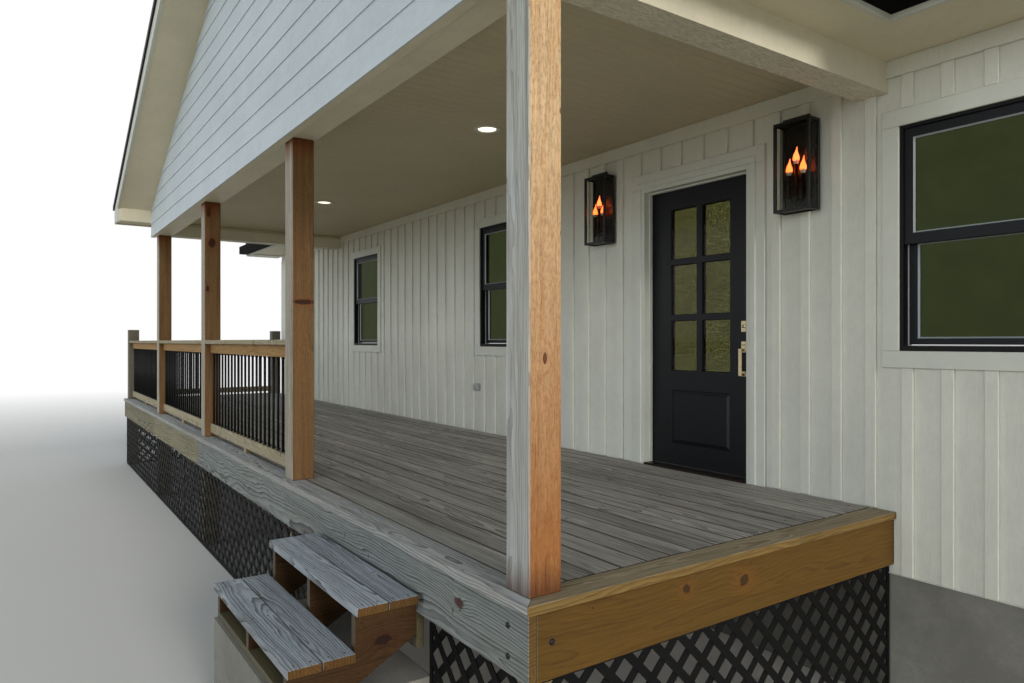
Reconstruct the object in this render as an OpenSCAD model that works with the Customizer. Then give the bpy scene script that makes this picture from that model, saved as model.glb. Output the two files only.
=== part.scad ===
/* [Deck] */
// Length of the deck along the house wall
deck_len = 11270; // [10200:10:12400]
// Depth of the deck from its front edge to the wall
deck_depth = 2490; // [2200:10:3000]
// Height of the walking surface above the lowest ground
deck_h = 1060; // [900:10:1300]
// Thickness of the deck boards
board_t = 38; // [25:1:45]
// Width of the border boards round the deck
border_w = 140; // [100:1:180]
// Gap between the border and the boards inside it
board_gap = 4; // [2:1:8]
// Overhang of the border past the fascia
border_lip = 13; // [5:1:25]
// Height of the fascia boards and of the joists
fascia_h = 250; // [200:1:290]
// Thickness of the framing lumber
lumber_t = 38; // [32:1:45]
// Distance from one joist to the next
joist_pitch = 610; // [400:10:800]
// Side of the square piers under the deck
pier_w = 140; // [120:1:200]

/* [Lattice] */
// Width of a lattice slat
slat_w = 38; // [30:1:48]
// Distance from one slat to the next, square to the slats
slat_pitch = 108; // [100:1:140]
// Thickness of a lattice panel
lattice_t = 12; // [8:1:16]
// Width of the strip along each edge of a lattice panel
lattice_edge = 19; // [12:1:30]

/* [Posts and beams] */
// Side of the square porch posts
post_w = 150; // [120:1:180]
// Distance from the front edge of the deck to the posts
post_inset = 50; // [30:1:80]
// Distance from the right end of the deck to the first post
end_inset = 59; // [50:1:120]
// Distance from the left end of the deck to the newels
newel_inset = 53; // [30:1:120]
// Distance from one porch post to the next
bay = 2692; // [2400:1:2800]
// Height of the newels
newel_h = 1120; // [1050:5:1250]
// Width of the beams
beam_w = 175; // [155:1:220]
// Height of the beams
beam_h = 261; // [230:1:305]
// Clear height from the deck to the beams
head_room = 2300; // [2240:5:2350]
// Height of the ceiling above the deck
ceiling_z = 2470; // [2420:5:2500]
// Thickness of the ceiling and soffit boards
ceiling_t = 19; // [10:1:30]

/* [Railing] */
// Height of the top of the handrail
rail_h = 945; // [900:5:1000]
// Width of the flat handrail cap
cap_w = 140; // [90:1:145]
// Height of the rails that stand on edge
rail_board_h = 89; // [80:1:100]
// Gap between the deck and the bottom rail
rail_gap = 40; // [25:1:70]
// Diameter of a baluster
baluster_d = 19; // [16:1:25]
// Distance from one baluster to the next
baluster_pitch = 115; // [100:1:125]

/* [Steps] */
// Centre of the steps and of the door, from the right end of the deck
entry_x = 1430; // [1300:5:1600]
// Width of the treads
tread_w = 1265; // [1000:5:1400]
// Height of one step
rise = 185; // [160:1:200]
// Depth from one tread to the next
run = 293; // [270:1:300]
// Width of a tread board
tread_board = 140; // [130:1:142]
// Gap between the two boards of a tread
tread_gap = 6; // [3:1:10]
// Thickness of a tread board
tread_t = 38; // [30:1:45]
// Overhang of the treads past the right stringer
tread_over = 72; // [0:1:100]

/* [Roof] */
// Pitch of the roof, in degrees
roof_pitch = 22.64; // [18.5:0.01:24.5]
// Overhang of the eaves past the side beams
eave_over = 300; // [250:5:400]
// Overhang of the house eaves past the wall
house_over = 545; // [450:5:700]
// Overhang of the rakes past the gable siding
rake_over = 394; // [300:1:500]
// Height of the eave fascia boards
eave_board_h = 184; // [160:1:235]
// Height of the rake boards, measured upright
rake_board_h = 152; // [120:1:180]
// Thickness of the fascia and rake boards
trim_t = 25; // [19:1:32]
// Width of the gutters
gutter_w = 127; // [100:1:150]
// Height of the gutters
gutter_h = 130; // [90:1:145]
// Thickness of the roof with its covering
roof_t = 45; // [35:1:60]
// Overhang of the roof covering past its boards
roof_lip = 15; // [5:1:30]
// Overhang of the house roof past the left corner of the wall
house_end_over = 335; // [250:5:345]
// Thickness of the gable siding with its sheathing
gable_t = 48; // [35:1:60]
// Distance that the gable siding hangs below the front beam
gable_lip = 20; // [0:1:30]

/* [House wall] */
// Distance from the left end of the deck to the wall corner
wall_left_inset = 345; // [200:5:500]
// Length of wall past the right end of the deck
wall_right_past = 1150; // [1050:10:1500]
// Thickness of the house wall
wall_t = 105; // [100:1:140]
// Height of the top of the wall above the deck
wall_top = 2590; // [2560:5:2600]
// Depth of the lower edge of the siding below the deck
siding_drop = 340; // [300:5:420]
// Setback of the foundation from the siding
foundation_set = 20; // [5:1:30]

/* [Door] */
// Width of the door leaf
door_w = 914; // [860:2:960]
// Height of the door leaf
door_h = 2032; // [2000:2:2040]
// Thickness of the door leaf
door_t = 45; // [38:1:50]
// Clearance round the leaf
door_gap = 7; // [6:1:9]
// Height of the threshold
sill_h = 14; // [10:1:25]
// Thickness of the door jambs
jamb_t = 30; // [25:1:40]
// Width of a pane in the door
pane_w = 244; // [200:1:250]
// Height of a pane in the door
pane_h = 371; // [300:1:380]
// Width of the upright bar between the panes
pane_bar_v = 50; // [40:1:70]
// Height of the level bars between the panes
pane_bar_h = 40; // [30:1:50]
// Distance from the top of the leaf to the panes
pane_top = 144; // [120:1:180]
// Height of the raised panel under the panes
panel_h = 400; // [300:5:420]

/* [Windows] */
// Width of a window
window_w = 810; // [700:5:900]
// Height of a window
window_h = 1220; // [1000:5:1250]
// Height of the window sills above the deck
window_z = 880; // [800:5:920]
// Width of the black window frame
window_frame = 72; // [35:1:80]
// Depth of the window frame
window_depth = 90; // [70:1:105]
// Height of the rail where the two sashes meet
meeting_h = 60; // [50:1:90]
// Thickness of the window glass
glass_t = 6; // [4:1:10]
// Width of the flat casings round the windows
casing_w = 92; // [70:1:100]
// Width of the flat casing round the door
door_casing_w = 110; // [90:1:130]
// Thickness of the casings
casing_t = 22; // [15:1:30]

/* [Lights] */
// Width of a wall lantern
lantern_w = 245; // [200:1:260]
// Depth of a wall lantern
lantern_d = 137; // [110:1:160]
// Height of a wall lantern
lantern_h = 545; // [450:5:560]
// Height of the bottom of the lanterns above the deck
lantern_z = 1715; // [1650:5:1760]

/* [Hidden] */

// Everything is laid out from the right front corner of the deck surface,
// with x to the right, y towards the house and z up
wall_l = -deck_len + wall_left_inset;
wall_r = wall_right_past;
wall_back = deck_depth + wall_t;
step_count = 3;
step_front = -(run * (step_count - 1) + tread_gap);
knob_out = 62;
origin_x = (-deck_len + wall_r) / 2;
origin_y = (step_front + wall_back + knob_out) / 2;
module place() {
    translate([-origin_x, -origin_y, deck_h]) children();
}
module box(x0, x1, y0, y1, z0, z1) {
    translate([x0, y0, z0]) cube([x1 - x0, y1 - y0, z1 - z0]);
}
// A flat outline in x and z, made solid from y0 to y1
module upright(y0, y1) {
    translate([0, y1, 0]) rotate([90, 0, 0]) linear_extrude(y1 - y0) children();
}
// A flat outline in y and z, made solid from x0 to x1
module sideways(x0, x1) {
    translate([x0, 0, 0]) rotate([90, 0, 90]) linear_extrude(x1 - x0) children();
}

// Posts
post_y0 = post_inset;
post_y1 = post_inset + post_w;
post_yc = post_inset + post_w / 2;
function post_x(i) = -(end_inset + post_w / 2) - (i - 1) * bay;
newel_x = -deck_len + newel_inset + post_w / 2;
newel_wall_y = deck_depth - post_w / 2;

// Beams
beam_y0 = post_yc - beam_w / 2;
beam_y1 = post_yc + beam_w / 2;
beam_r = post_x(1) + beam_w / 2;
beam_l = post_x(4) - beam_w / 2;

// Roof
gable_y = beam_y0 - gable_t;
rake_y = gable_y - rake_over;
eave_l = beam_l - eave_over;
eave_r = beam_r + eave_over;
roof_c = (eave_l + eave_r) / 2;
roof_half = (eave_r - eave_l) / 2;
soffit_lip = 15;
eave_bottom = ceiling_z - soffit_lip;
eave_top = eave_bottom + eave_board_h;
slope = tan(roof_pitch);
roof_v = roof_t * sqrt(1 + slope * slope);
function under(x) = eave_top + (roof_half - abs(x - roof_c)) * slope;
apex = under(roof_c);
// Clearance between the roof and the boards that it lies on
roof_seat = 0.5;
house_y = deck_depth - house_over;
house_l = wall_l - house_end_over;
function house_under(y) = eave_top + (y - house_y) * slope;
house_top = house_under(deck_depth);
gutter_sheet = 4;
gutter_gap = 20;

// Steps
tread_l = -entry_x - tread_w / 2;
tread_r = -entry_x + tread_w / 2;
step_bottom = -rise * step_count;
stringer_in = 12;
stringer_l = tread_l + stringer_in;
stringer_r = tread_r - tread_over;
stringer_m = (stringer_l + stringer_r) / 2;

// Fascia and lattice
fascia_in = border_lip + lumber_t;
frame_top = -board_t;
frame_bottom = frame_top - fascia_h;
lattice_out = fascia_in - lattice_t;

// Door
leaf_l = -entry_x - door_w / 2;
leaf_r = -entry_x + door_w / 2;
leaf_y1 = wall_back;
leaf_y0 = leaf_y1 - door_t;
leaf_z0 = sill_h + door_gap;
leaf_z1 = leaf_z0 + door_h;
frame_l = leaf_l - door_gap - jamb_t;
frame_r = leaf_r + door_gap + jamb_t;
frame_z = leaf_z1 + door_gap + jamb_t;
panes_w = 2 * pane_w + pane_bar_v;
panes_z1 = leaf_z1 - pane_top;
panes_h = 3 * pane_h + 2 * pane_bar_h;
panel_drop = 140;
stop_t = 12;
stop_gap = 6;
stop_w = 25;

// Windows
window_x = [-7197, -3855, 426];
window_out = 10;

// Lanterns
lantern_x = [-2340, -560];

// Deck

module deck_boards() {
    color("#8f8a80") place()
    box(-deck_len + border_w + board_gap, -border_w - board_gap,
        border_w + board_gap, deck_depth, -board_t, 0);
}
module deck_border() {
    color("#9a9284") place() difference() {
        box(-deck_len, 0, 0, deck_depth, -board_t, 0);
        box(-deck_len + border_w, -border_w, border_w, deck_depth + 1, -board_t - 1, 1);
    }
}
module deck_fascia() {
    color("#a98f5c") place() difference() {
        box(-deck_len + border_lip, -border_lip, border_lip, deck_depth, frame_bottom, frame_top);
        box(-deck_len + fascia_in, -fascia_in, fascia_in, deck_depth + 1,
            frame_bottom - 1, frame_top + 1);
    }
}
// Front girder of two boards, ledger on the wall, and joists between them
module deck_frame() {
    x0 = -deck_len + fascia_in;
    x1 = -fascia_in;
    girder_y = fascia_in + 2 * lumber_t;
    ledger_y = deck_depth - lumber_t;
    joists = floor((x1 - x0 - lumber_t) / joist_pitch);
    pitch = (x1 - x0 - lumber_t) / joists;
    color("#b39a66") place() union() {
        box(x0, x1, fascia_in, girder_y, frame_bottom, frame_top);
        box(x0, x1, ledger_y, deck_depth, frame_bottom, frame_top);
        for (i = [0 : joists])
            box(x0 + i * pitch, x0 + i * pitch + lumber_t, girder_y - 1, ledger_y + 1,
                frame_bottom, frame_top);
    }
}
module pier(x) {
    box(x - pier_w / 2, x + pier_w / 2, fascia_in, fascia_in + pier_w, -deck_h, frame_bottom);
}
module deck_piers() {
    color("#a08a63") place() {
        pier(-fascia_in - pier_w / 2);
        for (i = [2 : 4]) pier(post_x(i));
        pier(-deck_len + fascia_in + pier_w / 2);
    }
}

// Diagonal lattice in a thin frame, flat in x and z, from x0 to x1 and from the ground to
// the fascia
module lattice(x0, x1) {
    h = deck_h + frame_bottom;
    step = slat_pitch * sqrt(2);
    reach = h * sqrt(2) + slat_pitch;
    count = ceil((x1 - x0 + 2 * h) / step);
    difference() {
        translate([x0, -deck_h]) square([x1 - x0, h]);
        translate([x0 + lattice_edge, lattice_edge - deck_h])
        square([x1 - x0 - 2 * lattice_edge, h - 2 * lattice_edge]);
    }
    intersection() {
        translate([x0, -deck_h]) square([x1 - x0, h]);
        union() for (i = [0 : count]) translate([x0 - h + i * step, -deck_h]) {
            rotate(45) translate([-slat_pitch / 2, -slat_w / 2])
            square([reach + slat_pitch, slat_w]);
            translate([h, 0]) rotate(135) translate([-slat_pitch / 2, -slat_w / 2])
            square([reach + slat_pitch, slat_w]);
        }
    }
}
module lattice_front(x0, x1) {
    color("#1c1c1d") place() upright(lattice_out, fascia_in) lattice(x0, x1);
}
lattice_split = post_x(3) - bay / 3;
module lattice_front_1() { lattice_front(tread_r, -lattice_out); }
module lattice_front_2() { lattice_front(lattice_split, tread_l); }
module lattice_front_3() { lattice_front(-deck_len + lattice_out, lattice_split); }
module lattice_left() {
    color("#1c1c1d") place() sideways(-deck_len + lattice_out, -deck_len + fascia_in)
    lattice(fascia_in, deck_depth);
}
module lattice_right() {
    color("#1c1c1d") place() sideways(-fascia_in, -lattice_out) lattice(fascia_in, deck_depth);
}

// Steps

base_plate_w = 140;
// Depth of a stringer at the deck, and how far its lower corner lies before its upper notch
stringer_back = 162;
stringer_heel = 20;
nosing = 12;
notch_1 = nosing - run;
notch_2 = notch_1 - run;
// Sawtooth outline of a stringer, in y and z
module stringer_outline() {
    seat_1 = -rise - tread_t;
    seat_2 = seat_1 - rise;
    plate_y = notch_2 + base_plate_w;
    plate_z = step_bottom + lumber_t;
    polygon([
        [border_lip, seat_1], [notch_1, seat_1], [notch_1, seat_2], [notch_2, seat_2],
        [notch_2, plate_z], [plate_y, plate_z], [plate_y, step_bottom],
        [notch_1 - stringer_heel, step_bottom], [border_lip, seat_1 - stringer_back]
    ]);
}
module step_stringers() {
    color("#b8733f") place() {
        sideways(stringer_l, stringer_l + lumber_t) stringer_outline();
        sideways(stringer_m - lumber_t / 2, stringer_m + lumber_t / 2) stringer_outline();
        sideways(stringer_r - lumber_t, stringer_r) stringer_outline();
    }
}
module tread(i) {
    front = -tread_gap - i * run;
    z1 = -i * rise;
    color("#a9a69f") place() {
        box(tread_l, tread_r, front, front + tread_board, z1 - tread_t, z1);
        box(tread_l, tread_r, front + tread_board + tread_gap,
            front + 2 * tread_board + tread_gap, z1 - tread_t, z1);
    }
}
module step_tread_lower() { tread(2); }
module step_tread_upper() { tread(1); }
hanger_z0 = -rise - tread_t - 227;
// Base plate under the stringers and the hanger board behind them, below the fascia
module step_plates() {
    color("#b9ae93") place() {
        box(stringer_l, stringer_r, notch_2, notch_2 + base_plate_w,
            step_bottom, step_bottom + lumber_t);
        box(stringer_l, stringer_r, border_lip, fascia_in, hanger_z0, frame_bottom);
    }
}
module step_footing() {
    color("#b9bcbf") place()
    box(tread_l, tread_r, step_front, fascia_in, -deck_h, step_bottom);
}

// Posts, newels and railing

module post(x, yc, h) {
    box(x - post_w / 2, x + post_w / 2, yc - post_w / 2, yc + post_w / 2, 0, h);
}
module porch_post(i) {
    color("#c98b55") place() post(post_x(i), post_yc, head_room);
}
module post_1() { porch_post(1); }
module post_2() { porch_post(2); }
module post_3() { porch_post(3); }
module post_4() { porch_post(4); }
module newel_corner() { color("#b9966b") place() post(newel_x, post_yc, newel_h); }
module newel_wall() { color("#b9966b") place() post(newel_x, newel_wall_y, newel_h); }

// One panel of railing along x, centred on y = 0, from x0 to x1
module railing(x0, x1) {
    len = x1 - x0;
    sub_z = rail_h - lumber_t - rail_board_h;
    foot_z = rail_gap + rail_board_h;
    count = floor(len / baluster_pitch);
    first = (len - (count - 1) * baluster_pitch) / 2;
    box(x0, x1, -cap_w / 2, cap_w / 2, rail_h - lumber_t, rail_h);
    box(x0, x1, -lumber_t / 2, lumber_t / 2, sub_z, rail_h - lumber_t);
    box(x0, x1, -lumber_t / 2, lumber_t / 2, rail_gap, foot_z);
    box(x0 + len / 2 - lumber_t, x0 + len / 2 + lumber_t, -lumber_t / 2, lumber_t / 2, 0, rail_gap);
    for (i = [0 : count - 1])
        translate([x0 + first + i * baluster_pitch, 0, foot_z - 5])
        cylinder(d = baluster_d, h = sub_z - foot_z + 10, $fn = 8);
}
module rail_front(x0, x1) {
    color("#c3b48f") place() translate([0, post_yc, 0]) union() railing(x0, x1);
}
module rail_front_1() { rail_front(post_x(3) + post_w / 2, post_x(2) - post_w / 2); }
module rail_front_2() { rail_front(post_x(4) + post_w / 2, post_x(3) - post_w / 2); }
module rail_front_3() { rail_front(newel_x + post_w / 2, post_x(4) - post_w / 2); }
module rail_left() {
    color("#c3b48f") place() translate([newel_x, 0, 0]) rotate([0, 0, 90])
    union() railing(post_y1, newel_wall_y - post_w / 2);
}

// Beams, ceiling and soffits

module beam_front() {
    color("#d8d2c0") place()
    box(beam_l, beam_r, beam_y0, beam_y1, head_room, head_room + beam_h);
}
module beam_left() {
    color("#d8d2c0") place()
    box(beam_l, beam_l + beam_w, beam_y1, deck_depth, head_room, head_room + beam_h);
}
module beam_right() {
    color("#d8d2c0") place()
    box(beam_r - beam_w, beam_r, beam_y1, deck_depth, head_room, head_room + beam_h);
}
module ceiling() {
    color("#cfc9b4") place()
    box(beam_l + beam_w, beam_r - beam_w, beam_y1, deck_depth, ceiling_z, ceiling_z + ceiling_t);
}
// Outline of the boxed rake seen from the front, t thick: flat at z = low in both eaves, upright
// at the beams, and sloping between them, drop below the roof. It starts in from the eaves.
module rake_outline(in, low, drop, t) {
    x0 = eave_l + in;
    x1 = eave_r - in;
    polygon([
        [x0, low], [beam_l, low], [beam_l, under(beam_l) - drop], [roof_c, apex - drop],
        [beam_r, under(beam_r) - drop], [beam_r, low], [x1, low],
        [x1, low + t], [beam_r + t, low + t], [beam_r + t, under(beam_r + t) - drop + t],
        [roof_c, apex - drop + t], [beam_l - t, under(beam_l - t) - drop + t],
        [beam_l - t, low + t], [x0, low + t]
    ]);
}
module soffits() {
    rake_back = rake_y + trim_t;
    back = house_y + trim_t;
    top = ceiling_z + ceiling_t;
    color("#d3cdb9") place() union() {
        box(eave_l + trim_t, beam_l, gable_y - 1, deck_depth, ceiling_z, top);
        box(beam_r, eave_r - trim_t, gable_y - 1, deck_depth, ceiling_z, top);
        box(wall_l, eave_l + trim_t + 1, back, deck_depth, ceiling_z, top);
        box(eave_r - trim_t - 1, wall_r - trim_t, back, deck_depth, ceiling_z, top);
        upright(rake_back, gable_y)
        rake_outline(trim_t, ceiling_z, rake_board_h - soffit_lip, ceiling_t);
    }
}

// Gables and roof

module gable_wall() {
    color("#d9dde0") place() upright(gable_y, beam_y0)
    polygon([
        [beam_l, head_room - gable_lip], [beam_r, head_room - gable_lip], [beam_r, under(beam_r)],
        [roof_c, apex], [beam_l, under(beam_l)]
    ]);
}
// House wall above its top plate, flat under the house roof and peaked under the porch roof
module house_gable() {
    color("#d9dde0") place() upright(deck_depth, wall_back)
    polygon([
        [wall_l, wall_top], [wall_r, wall_top], [wall_r, house_top],
        [eave_r - house_over, house_top], [roof_c, apex], [eave_l + house_over, house_top],
        [wall_l, house_top]
    ]);
}
// Everything on the house side of the valley that runs back at 45 degrees from the corner
// where the eaves at x meet; inward is 1 on the left and -1 on the right
module past_valley(x, inward) {
    far = deck_len / 2;
    translate([x, house_y, 0]) linear_extrude(2 * far)
    polygon([[-inward * far, -far], [inward * far, far], [-inward * far, far]]);
}
module roof_slope(x_eave) {
    z_eave = under(x_eave) + roof_seat;
    z_ridge = apex + roof_seat;
    upright(rake_y - roof_lip, wall_back)
    polygon([
        [x_eave, z_eave], [roof_c, z_ridge], [roof_c, z_ridge + roof_v], [x_eave, z_eave + roof_v]
    ]);
}
module roof_left() {
    color("#33343a") place() difference() {
        roof_slope(eave_l - roof_lip);
        past_valley(eave_l, 1);
    }
}
module roof_right() {
    color("#33343a") place() difference() {
        roof_slope(eave_r + roof_lip);
        past_valley(eave_r, -1);
    }
}
module rake_boards() {
    color("#e6e6e2") place() upright(rake_y, rake_y + trim_t)
    polygon([
        [eave_l, eave_bottom], [beam_l, eave_bottom], [beam_l, under(beam_l) - rake_board_h],
        [roof_c, apex - rake_board_h], [beam_r, under(beam_r) - rake_board_h],
        [beam_r, eave_bottom], [eave_r, eave_bottom], [eave_r, eave_top], [roof_c, apex],
        [eave_l, eave_top]
    ]);
}
// Fascias of the porch eaves, turned at the inside corners and run on along the house eaves
module eave_fascias() {
    y0 = rake_y + trim_t;
    back = house_y + trim_t;
    color("#e6e6e2") place() {
        union() {
            box(eave_l, eave_l + trim_t, y0, back, eave_bottom, eave_top);
            box(house_l, eave_l + trim_t, house_y, back, eave_bottom, eave_top);
        }
        union() {
            box(eave_r - trim_t, eave_r, y0, back, eave_bottom, eave_top);
            box(eave_r - trim_t, wall_r, house_y, back, eave_bottom, eave_top);
        }
    }
}
// Strips of the house roof beside the porch roof, as far as the back of the wall
module house_roof(x0, x1) {
    y0 = house_y - roof_lip;
    z0 = house_under(y0) + roof_seat;
    z1 = house_under(wall_back) + roof_seat;
    sideways(x0, x1)
    polygon([[y0, z0], [wall_back, z1], [wall_back, z1 + roof_v], [y0, z0 + roof_v]]);
}
module house_roof_left() {
    color("#33343a") place() intersection() {
        house_roof(house_l - roof_lip / 2, eave_l + house_over + wall_t);
        past_valley(eave_l, 1);
    }
}
module house_roof_right() {
    color("#33343a") place() intersection() {
        house_roof(eave_r - house_over - wall_t, wall_r);
        past_valley(eave_r, -1);
    }
}
// Boxed ends of the house eaves: past the wall's corner on the left, a board on the right
module house_rakes() {
    y0 = house_y + trim_t;
    color("#e6e6e2") place() {
        sideways(house_l, wall_l) polygon([
            [y0, eave_bottom], [deck_depth, eave_bottom],
            [wall_back, house_under(wall_back) - eave_board_h],
            [wall_back, house_under(wall_back)], [y0, house_under(y0)]
        ]);
        sideways(wall_r - trim_t, wall_r) polygon([
            [y0, eave_bottom], [deck_depth, eave_bottom], [deck_depth, house_top],
            [y0, house_under(y0)]
        ]);
    }
}
// Open gutters of bent sheet, turned at the inside corners of the eaves
module gutter_trough(inset, z0, z1) {
    y0 = rake_y + trim_t;
    union() {
        box(eave_l - gutter_w + inset, eave_l - inset, y0 + inset, house_y - inset, z0, z1);
        box(house_l + inset, eave_l - inset, house_y - gutter_w + inset, house_y - inset, z0, z1);
    }
    union() {
        box(eave_r + inset, eave_r + gutter_w - inset, y0 + inset, house_y - inset, z0, z1);
        box(eave_r + inset, wall_r - inset, house_y - gutter_w + inset, house_y - inset, z0, z1);
    }
}
module gutters() {
    z1 = under(eave_l - roof_lip) - gutter_gap;
    z0 = z1 - gutter_h;
    color("#18191a") place() difference() {
        gutter_trough(0, z0, z1);
        gutter_trough(gutter_sheet, z0 + gutter_sheet, z1 + 1);
    }
}

// House wall

module window_hole(x) {
    box(x - window_w / 2, x + window_w / 2, deck_depth - 1, wall_back + 1,
        window_z, window_z + window_h);
}
module wall_left() {
    color("#dcd9cc") place() difference() {
        box(wall_l, frame_l, deck_depth, wall_back, -siding_drop, wall_top);
        window_hole(window_x[0]);
        window_hole(window_x[1]);
    }
}
module wall_over_door() {
    color("#dcd9cc") place()
    box(frame_l, frame_r, deck_depth, wall_back, frame_z, wall_top);
}
module wall_right() {
    color("#dcd9cc") place() difference() {
        box(frame_r, wall_r, deck_depth, wall_back, -siding_drop, wall_top);
        window_hole(window_x[2]);
    }
}
// Foundation down to the lowest ground, raised to the threshold under the door
module foundation_wall() {
    color("#bfc3c4") place() union() {
        box(wall_l + foundation_set, wall_r - foundation_set,
            deck_depth + foundation_set, wall_back, -deck_h, -siding_drop);
        box(frame_l, frame_r, deck_depth, wall_back, -siding_drop, 0);
    }
}

// Door

module door_frame() {
    stop_y1 = leaf_y0 - stop_gap;
    stop_y0 = stop_y1 - stop_w;
    y0 = deck_depth - casing_t;
    in_l = frame_l + jamb_t;
    in_r = frame_r - jamb_t;
    color("#e3dfd0") place() union() {
        difference() {
            box(frame_l, frame_r, y0, wall_back, 0, frame_z);
            box(in_l, in_r, y0 - 1, wall_back + 1, -1, frame_z - jamb_t);
        }
        difference() {
            box(in_l - 1, in_r + 1, stop_y0, stop_y1, 0, frame_z - jamb_t + 1);
            box(in_l + stop_t, in_r - stop_t, stop_y0 - 1, stop_y1 + 1, -1,
                frame_z - jamb_t - stop_t);
        }
        box(in_l - 1, in_r + 1, y0, wall_back, 0, sill_h);
    }
}
module pane_box(i, j, y0, y1) {
    x = -entry_x - panes_w / 2 + i * (pane_w + pane_bar_v);
    z = panes_z1 - pane_h - j * (pane_h + pane_bar_h);
    box(x, x + pane_w, y0, y1, z, z + pane_h);
}
// Groove round the raised panel
groove_w = 30;
groove_t = 8;
module door() {
    x0 = -entry_x - panes_w / 2;
    x1 = -entry_x + panes_w / 2;
    z1 = panes_z1 - panes_h - panel_drop;
    z0 = z1 - panel_h;
    color("#25272a") place() difference() {
        box(leaf_l, leaf_r, leaf_y0, leaf_y1, leaf_z0, leaf_z1);
        for (i = [0 : 1]) for (j = [0 : 2]) pane_box(i, j, leaf_y0 - 1, leaf_y1 + 1);
        difference() {
            box(x0, x1, leaf_y0 - 1, leaf_y0 + groove_t, z0, z1);
            box(x0 + groove_w, x1 - groove_w, leaf_y0 - 2, leaf_y0 + groove_t + 1,
                z0 + groove_w, z1 - groove_w);
        }
    }
}
module door_glass() {
    mid = (leaf_y0 + leaf_y1) / 2;
    color("#3c4640") place()
    for (i = [0 : 1]) for (j = [0 : 2]) pane_box(i, j, mid - glass_t / 2, mid + glass_t / 2);
}
// Plate and grip of the handle, bolt over it, and the knob inside, from the leaf's edges
handle_x = leaf_r - 70;
handle_z = leaf_z0 + 799;
plate_w = 48;
plate_h = 250;
plate_t = 6;
grip_d = 20;
grip_h = 200;
grip_out = 48;
grip_z0 = handle_z - 110;
arm_d = 14;
arm_in = 10;
bolt_d = 62;
bolt_out = 18;
bolt_z = handle_z + 214;
knob_d = 54;
knob_h = 26;
knob_neck = 24;
rose_d = 60;
rose_t = 8;
// A grip on two arms and a long plate, a round bolt above it, and a knob on the inside
module door_handle() {
    x = handle_x;
    color("#b08d57") place() {
        union() {
            box(x - plate_w / 2, x + plate_w / 2, leaf_y0 - plate_t, leaf_y0,
                handle_z - plate_h / 2, handle_z + plate_h / 2);
            for (z = [grip_z0 + arm_in, grip_z0 + grip_h - arm_in])
                translate([x, leaf_y0 - plate_t + 1, z]) rotate([90, 0, 0])
                cylinder(d = arm_d, h = grip_out - plate_t + 1);
            translate([x, leaf_y0 - grip_out, grip_z0]) cylinder(d = grip_d, h = grip_h);
        }
        translate([x, leaf_y0, bolt_z]) rotate([90, 0, 0]) cylinder(d = bolt_d, h = bolt_out);
        translate([x, leaf_y1, handle_z]) rotate([-90, 0, 0]) union() {
            cylinder(d = rose_d, h = rose_t);
            cylinder(d = knob_neck, h = knob_out - 1);
            translate([0, 0, knob_out - knob_h]) cylinder(d = knob_d, h = knob_h);
        }
    }
}

// Three hinges on the inner face: a plate let over the leaf and a knuckle on the pin's axis
pin_x = leaf_l - door_gap / 2;
pin_back = 8;
knuckle_d = 14;
knuckle_h = 100;
hinge_in = 180;
hinge_w = 30;
hinge_t = 3;
module door_hinges() {
    zs = [leaf_z0 + hinge_in, leaf_z0 + door_h / 2, leaf_z1 - hinge_in];
    color("#8c7a50") place() for (z = zs) union() {
        translate([pin_x, leaf_y1 + pin_back, z - knuckle_h / 2])
        cylinder(d = knuckle_d, h = knuckle_h);
        box(pin_x, leaf_l + hinge_w, leaf_y1, leaf_y1 + hinge_t,
            z - knuckle_h / 2, z + knuckle_h / 2);
    }
}

// Windows and casings

module window_frame_at(x) {
    x0 = x - window_w / 2;
    x1 = x + window_w / 2;
    z1 = window_z + window_h;
    y0 = deck_depth - window_out;
    mid = window_z + window_h / 2;
    difference() {
        box(x0, x1, y0, y0 + window_depth, window_z, z1);
        box(x0 + window_frame, x1 - window_frame, y0 - 1, y0 + window_depth + 1,
            window_z + window_frame, mid - meeting_h / 2);
        box(x0 + window_frame, x1 - window_frame, y0 - 1, y0 + window_depth + 1,
            mid + meeting_h / 2, z1 - window_frame);
    }
}
module window_frames() {
    color("#1b1c1d") place() for (x = window_x) window_frame_at(x);
}
module window_glass() {
    y = deck_depth + window_depth / 2 - window_out;
    mid = window_z + window_h / 2;
    x_in = window_w / 2 - window_frame;
    color("#4a5552") place() for (x = window_x) {
        box(x - x_in, x + x_in, y - glass_t / 2, y + glass_t / 2,
            window_z + window_frame, mid - meeting_h / 2);
        box(x - x_in, x + x_in, y - glass_t / 2, y + glass_t / 2,
            mid + meeting_h / 2, window_z + window_h - window_frame);
    }
}
module casings() {
    y0 = deck_depth - casing_t;
    color("#e3dfd0") place() {
        for (x = window_x) difference() {
            box(x - window_w / 2 - casing_w, x + window_w / 2 + casing_w, y0, deck_depth,
                window_z - casing_w, window_z + window_h + casing_w);
            box(x - window_w / 2, x + window_w / 2, y0 - 1, deck_depth + 1,
                window_z, window_z + window_h);
        }
        difference() {
            box(frame_l - door_casing_w, frame_r + door_casing_w, y0, deck_depth,
                0, frame_z + door_casing_w);
            box(frame_l, frame_r, y0 - 1, deck_depth + 1, -1, frame_z);
        }
    }
}

// Lights

module wall_lanterns() {
    color("#232120") place() for (x = lantern_x)
        box(x - lantern_w / 2, x + lantern_w / 2, deck_depth - lantern_d, deck_depth,
            lantern_z, lantern_z + lantern_h);
}

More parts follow.
